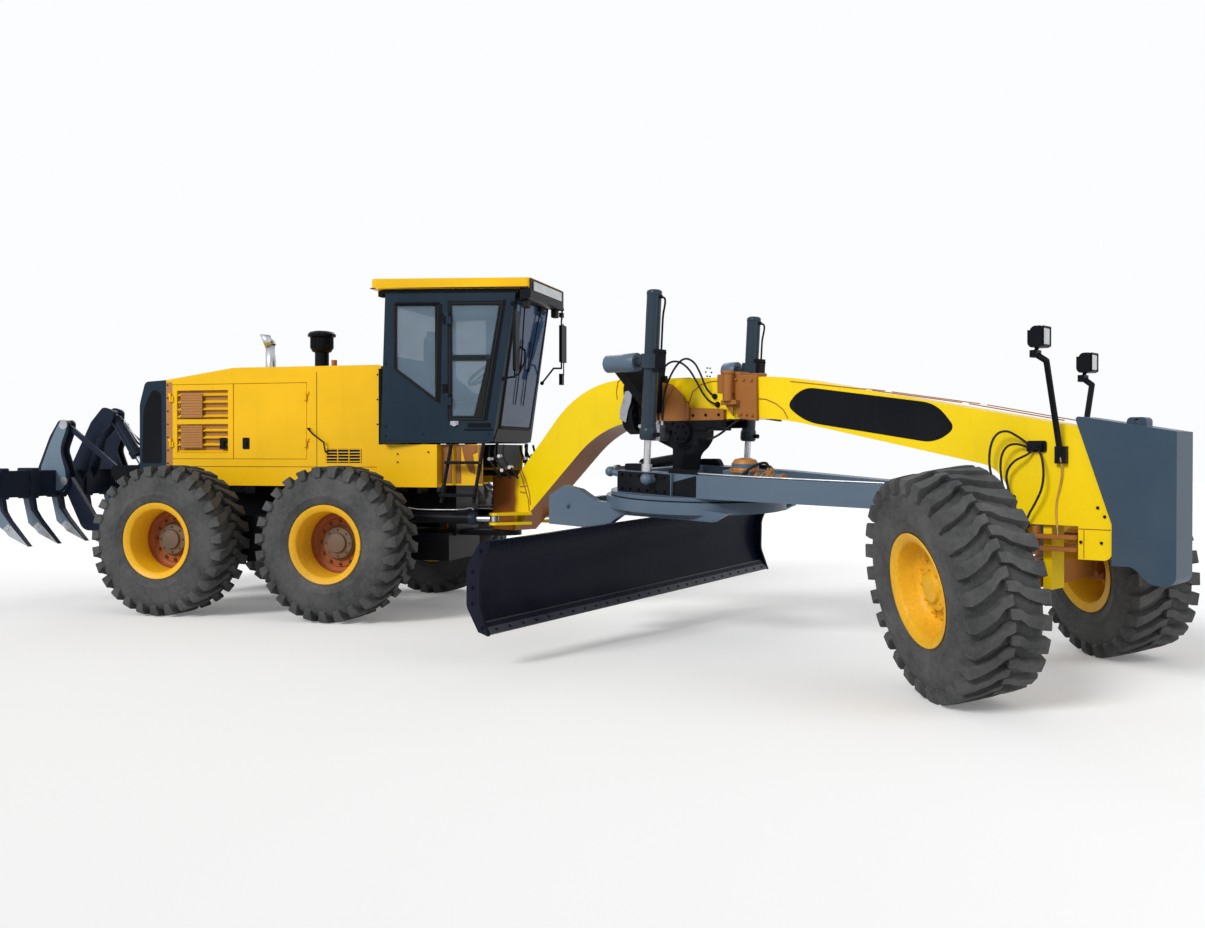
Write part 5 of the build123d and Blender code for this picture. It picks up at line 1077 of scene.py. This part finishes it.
for x, z in ((2.86, 2.03), (2.83, 2.1)):
    add_rod(ends, (x, -0.15, z), (x, -0.175, z), 0.02, sides=12)
    add_rod(ends, (x, -0.155, z), (x, -0.168, z), 0.026, sides=6)
piece("saddle_hose_ends", ends, FRONT, "black", "front_frame", smooth=True)
hose("neck_pipe_upper", [(2.76, -0.16, 1.79), (2.8, -0.165, 1.81), (2.88, -0.165, 1.85), (2.95, -0.155, 1.89),
    (3.0, -0.14, 1.9)], 0.01, "hose",
     "front_frame", FRONT)
hose("neck_pipe_lower", [(2.76, -0.16, 1.73), (2.82, -0.165, 1.74), (2.92, -0.165, 1.79), (3.02, -0.16, 1.86),
    (3.08, -0.14, 1.9)], 0.01, "hose",
     "front_frame", FRONT)

# Painted shadow: the brown cheek plates and blocks stand for the near lift cylinder's shadow on the yellow neck; the
# round post with its cap is a fitting in the same brown.
CHEEK_SHADOW = [(2.938, 2.285), (2.938, 2.136), (2.985, 2.097), (3.054, 2.09), (3.093, 1.907), (3.289, 1.88), (3.281, 2.26)]
cheek_shadows_and_post = bmesh.new()
for side in (-1, 1):
    slab(cheek_shadows_and_post, CHEEK_SHADOW, side * 0.17, 0.019)
    add_box(cheek_shadows_and_post, (2.94, 3.12), span(side * 0.12, 0.07), (2.27, 2.3))
    add_box(cheek_shadows_and_post, (2.93, 3.06), span(side * 0.215, 0.045), (2.12, 2.28))
    add_box(cheek_shadows_and_post, (2.96, 3.12), span(side * 0.205, 0.045), (2.02, 2.06))
    slab(cheek_shadows_and_post, [(2.97, 2.03), (3.06, 1.92), (3.06, 2.03)], side * 0.2, 0.01)
    add_rod(cheek_shadows_and_post, (3.03, side * 0.245, 2.05), (3.03, side * 0.245, 2.3), 0.042, sides=32)
    add_rod(cheek_shadows_and_post, (3.03, side * 0.245, 2.28), (3.03, side * 0.245, 2.31), 0.05, sides=32)
piece("front_cheek_shadows_and_post", cheek_shadows_and_post, FRONT, "cheek_brown", "front_frame", bevel=0.005)
cheek_bolts = bmesh.new()
for side in (-1, 1):
    add_nuts(cheek_bolts, row((3.13, side * 0.189, 1.94), (3.25, side * 0.189, 1.93),
        3) + row((3.0, side * 0.189, 2.24), (3.24, side * 0.189, 2.225), 4),
        (0, side, 0), 0.014)
piece("front_cheek_bolts", cheek_bolts, FRONT, "rust_brown", "front_frame", smooth=True)
collar = bmesh.new()
for side in (-1, 1):
    bead(collar, [(2.55, side * BEAD_SIDE, 2.07), (2.58, side * BEAD_SIDE, 2.15), (2.68, side * BEAD_SIDE, 2.21),
        (2.79, side * BEAD_SIDE, 2.231), (2.93, side * BEAD_SIDE, 2.233)], 0.005)
piece("saddle_weld_arcs", collar, FRONT, "rust_brown", "front_frame", smooth=True)

# Drawbar: covers and motor on top, bolts along the boxes and the ring, teeth under the circle
pitch_axis = Vector(JOINTS["drawbar_pitch"]["axis"])
swing_axis = Vector(JOINTS["drawbar_swing"]["axis"])
ring_axis = Vector(JOINTS["circle_turn"]["axis"])
forward = pitch_axis.cross(swing_axis)
DRAWBAR = FRONT @ Matrix.Translation((5.33, 0, 1.245)) @ FRONT.to_3x3().to_4x4().inverted() @ Matrix((
    forward, ring_axis.cross(forward), ring_axis)).transposed().to_4x4()
CIRCLE = DRAWBAR @ Matrix.Translation((-2.83, 0, 0)) @ Matrix.Rotation(radians(6), 4, "Z")
BLADE = CIRCLE @ Matrix.Translation((-0.23, -0.4, -0.68))
covers = bmesh.new()
for side in (-1, 1):
    slab(covers, rounded([(-3.19, 0.094, 0.0), (-3.19, 0.15, 0.02), (-2.98, 0.16, 0.03), (-2.94, 0.094, 0.0)]),
        side * 0.53, 0.03)
    slab(covers, rounded([(-2.7, 0.093, 0.0), (-2.68, 0.13, 0.02), (-2.42, 0.13, 0.03), (-2.38, 0.093, 0.0)]),
        side * 0.53, 0.03)
    slab(covers, rounded_rect(-3.2, -2.61, -0.09, 0.09, 0.01), side * 0.637, 0.002)
    slab(covers, rounded([(-2.62, -0.09, 0.01), (-2.36, -0.09, 0.01), (-2.36, 0.09, 0.01), (-2.62, 0.02, 0.01)]),
        side * 0.603, 0.004)
piece("drawbar_covers", covers, DRAWBAR, "black", "drawbar", bevel=0.004)
drawbar_bolts = bmesh.new()
for side in (-1, 1):
    add_nuts(drawbar_bolts, row((-3.15, side * 0.639, 0.06), (-2.67, side * 0.639, 0.06),
        6) + row((-3.15, side * 0.639, -0.06), (-2.67, side * 0.639, -0.06), 6),
        (0, side, 0), 0.013)
add_nuts(drawbar_bolts, [(-2.28, y, -0.064) for y in (-0.42, -0.36, 0.36, 0.42)] + [(-1.83, y,
    -0.064) for y in (-0.42, -0.36)], (0, 0, 1), 0.014)
piece("drawbar_bolts", drawbar_bolts, DRAWBAR, "black", "drawbar", smooth=True)
DRIVE_Y = -0.205
drive = lathe([(0.0, 0.2), (0.03, 0.2), (0.05, 0.196), (0.1, 0.18), (0.117, 0.15), (0.118, 0.13), (0.14, 0.13),
    (0.14, 0.118)], 40, axis="Z")
for x, y in ring(12, 0.128):
    add_rod(drive, (x, y, 0.128), (x, y, 0.142), 0.009, sides=6)
for _ in range(6):
    add_box(drive, (-0.006, 0.006), (-0.115, -0.05), (0.13, 0.19))
add_mesh(drive, lathe([(0.0, 0.235), (0.05, 0.233), (0.09, 0.222), (0.105, 0.2), (0.11, 0.17)], 32, axis="Z"))
piece("circle_drive_dome", drive, DRAWBAR @ Matrix.Translation((-2.15, DRIVE_Y, 0)), "motor", "drawbar", smooth=True)
motor = bmesh.new()
for low, high, radius in ((-2.012, -1.985, 0.082), (-1.96, -1.94, 0.068), (-1.9, -1.885, 0.064),
        (-1.86, -1.845, 0.064), (-1.775, -1.757, 0.064)):
    add_rod(motor, (low, DRIVE_Y, 0.06), (high, DRIVE_Y, 0.06), radius, sides=32)
add_box(motor, (-1.93, -1.87), (-0.235, -0.175), (0.11, 0.14))
for x in (-1.915, -1.885):
    add_rod(motor, (x, DRIVE_Y, 0.13), (x, DRIVE_Y, 0.165), 0.013, sides=6)
piece("circle_drive_motor", motor, DRAWBAR, "motor", "drawbar", bevel=0.003)
hose("drive_hose", [(-1.915, DRIVE_Y, 0.16), (-1.915, DRIVE_Y, 0.2), (-1.95, -0.25, 0.21), (-2.02, -0.33, 0.16),
    (-2.1, -0.4, 0.05), (-2.2, -0.42, -0.04), (-2.28, -0.4, -0.06)], 0.011, "hose", "drawbar", DRAWBAR)
hose("beam_pipe_right", [(-0.6, -0.1, 0.102), (-1.2, -0.3, 0.104), (-1.8, -0.46, 0.104), (-2.25, -0.53, 0.104),
    (-2.5, -0.53, 0.104)], 0.009, "steel",
     "drawbar", DRAWBAR)

teeth = bmesh.new()
for step in range(72):
    tooth = prism([(0.598, -0.018), (0.642, -0.026), (0.642, 0.026), (0.598, 0.018)], "z", -0.23, -0.14)
    add_mesh(teeth, tooth, Matrix.Rotation(2 * pi * step / 72, 4, "Z"))
piece("circle_teeth", teeth, CIRCLE, "worn_steel", "circle", bevel=0.002)
circle_fittings = bmesh.new()
for side in (-1, 1):
    add_nuts(circle_fittings, [(-0.3, side * 0.64, -0.25), (0.25, side * 0.64, -0.24), (-0.95, side * 0.64, -0.25)],
        (0, side, 0), 0.02)
    add_mesh(circle_fittings, lathe([(0.0, 0.0), (0.06, 0.0), (0.07, 0.008), (0.07, 0.018), (0.0, 0.018)], 32),
        Matrix.Translation((-0.6, side * 0.645 - 0.009, -0.9)))
    bead(circle_fittings, [(0.66, side * 0.641, -0.23), (0.56, side * 0.641, -0.272), (-0.33, side * 0.641, -0.278)],
        0.004)
piece("circle_fittings", circle_fittings, CIRCLE, "blue_grey", "circle", smooth=True)

# Blade: cutting edge in three lengths with its bolts, ribs behind and end plates
edges = bmesh.new()
for low, high in ((-2.1, -0.716), (-0.71, 0.71), (0.716, 2.1)):
    add_mesh(edges, prism([(-0.066, -0.265), (-0.046, -0.252), (0.03, -0.338), (0.012, -0.349)], "y", low, high))
piece("cutting_edges", edges, BLADE, "worn_blade", "blade", bevel=0.002)
edge_bolts = bmesh.new()
for y in [-2.02 + 0.1554 * step for step in range(27)]:
    for share in (0.3, 0.72):
        x, z = -0.046 + 0.076 * share, -0.252 - 0.086 * share
        add_rod(edge_bolts, (x - 0.004, y, z - 0.004), (x + 0.003, y, z + 0.003), 0.012, sides=12)
piece("edge_bolts", edge_bolts, BLADE, "blade", "blade", smooth=True)
ribs = bmesh.new()
for y in (-1.5, -0.9, -0.3, 0.3, 0.9, 1.5):
    slab(ribs, [(-0.175, -0.17), (-0.175, 0.17), (-0.215, 0.17), (-0.215, -0.17)], y, 0.012)
for z in (-0.27, 0.27):
    x = 0.3285 - (0.508 ** 2 - z ** 2) ** 0.5
    add_box(ribs, (x - 0.03, x + 0.01), (-2.1, 2.1), span(z, 0.01))
piece("blade_ribs", ribs, BLADE, "blade", "blade", bevel=0.003)
plates = bmesh.new()
for side in (-1, 1):
    outer = side * 2.137
    outline = rounded([(-0.1, 0.1, 0.0), (-0.1, -0.1, 0.0), (-0.06, -0.2, 0.05), (0.0, -0.3, 0.02),
        (-0.05, -0.32, 0.02), (-0.17, -0.14, 0.05), (-0.17, 0.14, 0.05), (-0.07, 0.3, 0.02), (-0.03, 0.3, 0.02)])
    add_mesh(plates, prism(outline, "y", min(outer, outer - side * 0.004), max(outer, outer - side * 0.004)))
    add_nuts(plates, [(-0.13, outer, z) for z in (-0.12, 0.0, 0.12)] + [(-0.05, outer, 0.28), (-0.03, outer, -0.29)],
        (0, side, 0), 0.014)
piece("blade_end_trim", plates, BLADE, "blade", "blade", bevel=0.001)

# Ripper: light ear plates, pin caps, shank sockets and tips
ear_outline = [(-5.21, 1.18, 0), (-5.28, 1.43, 0.06), (-5.13, 1.78, 0.16), (-5.03, 1.945, 0.03), (-4.94, 1.955, 0.03),
    (-4.94, 1.87, 0.03), (-5.03, 1.65, 0.1), (-4.95, 1.4, 0.05), (-4.95, 1.25, 0.05), (-5.02, 1.2, 0)]
ears = bmesh.new()
caps = bmesh.new()
for side in (-1, 1):
    for y in span(side * 0.46, 0.066):
        add_mesh(caps, lathe([(0.0, -0.006), (0.05, -0.006), (0.055, 0.0), (0.055, 0.006), (0.0, 0.006)], 24),
            Matrix.Translation((-4.98, y, 1.92)))
        add_mesh(caps, lathe([(0.0, -0.006), (0.045, -0.006), (0.05, 0.0), (0.05, 0.006), (0.0, 0.006)], 24),
            Matrix.Translation((-4.98, y, 1.3)))
    add_mesh(ears, prism(rounded(ear_outline), "y", side * 0.46 - 0.004 + side * 0.067,
        side * 0.46 + 0.004 + side * 0.067))
piece("ripper_ear_plates", ears, REAR, "shank_grey", "ripper_beam", bevel=0.002)
piece("ripper_pin_caps", caps, REAR, "worn_steel", "ripper_beam", smooth=True)
SHANKS = [(step - 3) * 0.433 for step in range(7)]
tips = bmesh.new()
sockets = bmesh.new()
for y in SHANKS:
    slab(tips, [(-5.0, 0.87), (-4.94, 0.83), (-4.745, 0.638), (-4.99, 0.745), (-5.06, 0.82)], y, 0.036)
    slab(sockets, rounded_rect(-5.245, -5.055, 1.12, 1.45, 0.02), y, 0.055)
    add_rod(tips, (-5.0, y - 0.041, 0.815), (-5.0, y + 0.041, 0.815), 0.014, sides=12)
    add_rod(sockets, (-5.14, y - 0.07, 1.3), (-5.14, y + 0.07, 1.3), 0.02, sides=16)
piece("ripper_tips", tips, REAR, "worn_steel", "ripper_beam", bevel=0.004)
piece("ripper_sockets", sockets, REAR, "navy", "ripper_beam", bevel=0.005)
glands = bmesh.new()
swing = Vector(JOINTS["ripper_rod_slide"]["axis"])
if swing.z > 0:
    swing = -swing
RIPPER_LINE = REAR @ Matrix.Translation((-4.74, 0, 2.05)) @ swing.to_track_quat("Z", "Y").to_matrix().to_4x4()
add_mesh(glands, lathe([(0.0, 0.06), (0.05, 0.06), (0.064, 0.066), (0.066, 0.09), (0.064, 0.1)], 40, axis="Z"))
add_mesh(glands, lathe([(0.062, 0.49), (0.072, 0.5), (0.072, 0.572), (0.06, 0.58), (0.036, 0.582)], 40, axis="Z"))
add_rod(glands, (0, 0.05, 0.13), (0, 0.085, 0.13), 0.015, sides=12)
add_rod(glands, (0, 0.05, 0.53), (0, 0.095, 0.53), 0.015, sides=12)
piece("ripper_glands", glands, RIPPER_LINE, "navy", "ripper_cylinder", smooth=True)
hose("ripper_line", [(0, 0.09, 0.53), (0, 0.11, 0.53), (0, 0.115, 0.48), (0, 0.095, 0.42), (0, 0.092, 0.3),
    (0, 0.09, 0.16), (0, 0.085, 0.13)],
     0.009, "steel", "ripper_cylinder", RIPPER_LINE)

# Articulation cylinders: gland rings, ports and lines
for side_name, side in SIDES.items():
    along = Vector(JOINTS[f"articulation_rod_{side_name}_slide"]["axis"])
    if along.x < 0:
        along = -along
    start = Vector(JOINTS[f"articulation_barrel_{side_name}_swing"]["pos_m"])
    place = Matrix.Translation(start) @ Matrix((Vector((0, 0, 1)).cross(along) * -1, Vector((0, 0, 1)),
        along)).transposed().to_4x4()
    glands = lathe([(0.0, 0.072), (0.05, 0.074), (0.058, 0.08), (0.058, 0.11), (0.056, 0.114)], 40, axis="Z")
    add_mesh(glands, lathe([(0.055, 0.825), (0.066, 0.832), (0.066, 0.888), (0.06, 0.9), (0.03, 0.903)], 40,
        axis="Z"))
    for height in (0.14, 0.86):
        add_rod(glands, (0, 0.05, height), (0, 0.085, height), 0.014, sides=12)
        add_rod(glands, (0, 0.07, height), (0, 0.08, height), 0.019, sides=6)
    piece(f"articulation_glands_{side_name}", glands, place, "navy", f"articulation_barrel_{side_name}", smooth=True)
    hose(f"articulation_line_{side_name}", [(0, 0.085, 0.86), (0, 0.1, 0.86), (0, 0.105, 0.82), (0, 0.085, 0.76),
        (0, 0.08, 0.5), (0, 0.08, 0.28), (0, 0.088, 0.2), (0, 0.1, 0.15), (0, 0.085, 0.14)], 0.008, "steel",
        f"articulation_barrel_{side_name}", place)
shank_sides = bmesh.new()
shank_outline = [(-5.19, 1.12), (-5.12, 1.12), (-5.09, 1.0), (-5.03, 0.93), (-4.93, 0.82), (-4.99, 0.765),
    (-5.125, 0.855), (-5.178, 1.07)]
for middle in SHANKS:
    for side in (-1, 1):
        slab(shank_sides, shank_outline, middle + side * 0.0285, 0.0015)
piece("shank_sides", shank_sides, REAR, "shank_grey", "ripper_beam", bevel=0.0008)

# Camera, floor and light
CAMERA_AT = (4.315, -11.722, 1.621)
CAMERA_TURN, CAMERA_DIP = 15.595, 0.576
camera_data = bpy.data.cameras.new("camera")
camera_data.lens = 36.0
camera_data.sensor_width = 36.0
camera_data.clip_end = 200.0
camera = linked("camera", camera_data)
camera.matrix_world = (Matrix.Translation(REAR @ Vector(CAMERA_AT)) @ Matrix.Rotation(radians(CAMERA_TURN), 4, "Z")
    @ Matrix.Rotation(radians(90 - CAMERA_DIP), 4, "X"))
bpy.context.scene.camera = camera

floor_mesh = bmesh.new()
bmesh.ops.create_grid(floor_mesh, x_segments=1, y_segments=1, size=60)
floor_data = bpy.data.meshes.new("floor")
floor_mesh.to_mesh(floor_data)
floor_mesh.free()
floor = linked("floor", floor_data)
floor_look, floor_tree, floor_shader = new_material("floor")
floor_shader.inputs["Base Color"].default_value = (0.86, 0.86, 0.85, 1)
floor_shader.inputs["Roughness"].default_value = 0.9
floor_shader.inputs["Specular IOR Level"].default_value = 0.1
floor_shader.inputs["Emission Color"].default_value = (1, 1, 1, 1)
far = floor_tree.nodes.new("ShaderNodeVectorMath")
far.operation = "LENGTH"
floor_tree.links.new(floor_tree.nodes.new("ShaderNodeNewGeometry").outputs["Position"], far.inputs[0])
floor_glow = times(floor_tree, ramp(floor_tree, far.outputs["Value"], 7.0, 22.0, 0.14, 0.4), seen_rays(floor_tree))
floor_tree.links.new(floor_glow, floor_shader.inputs["Emission Strength"])
floor_data.materials.append(floor_look)

world = bpy.data.worlds.new("studio")
bpy.context.scene.world = world
world.use_nodes = True
seen = seen_rays(world.node_tree)
backdrop = world.node_tree.nodes["Background"]
backdrop.inputs["Color"].default_value = (0.97, 0.98, 1.0, 1)
world.node_tree.links.new(ramp(world.node_tree, seen, 0.0, 1.0, 0.42, 1.0), backdrop.inputs["Strength"])
bpy.context.scene.view_settings.view_transform = "Standard"
for light_name, kind, energy, size, at in [("key", "SUN", 2.3, 0.35, (-7, -15, 11)),
        ("fill", "AREA", 350, 9, (13, -6, 5)), ("back", "AREA", 450, 7, (-4, 10, 9))]:
    light_data = bpy.data.lights.new(light_name, kind)
    light_data.energy = energy
    if kind == "SUN":
        light_data.angle = size
    else:
        light_data.size = size
    light = linked(light_name, light_data)
    start = REAR @ Vector(at)
    light.matrix_world = Matrix.Translation(start) @ (REAR @ Vector((0, 0, 1)) - start).to_track_quat("-Z",
        "Y").to_matrix().to_4x4()
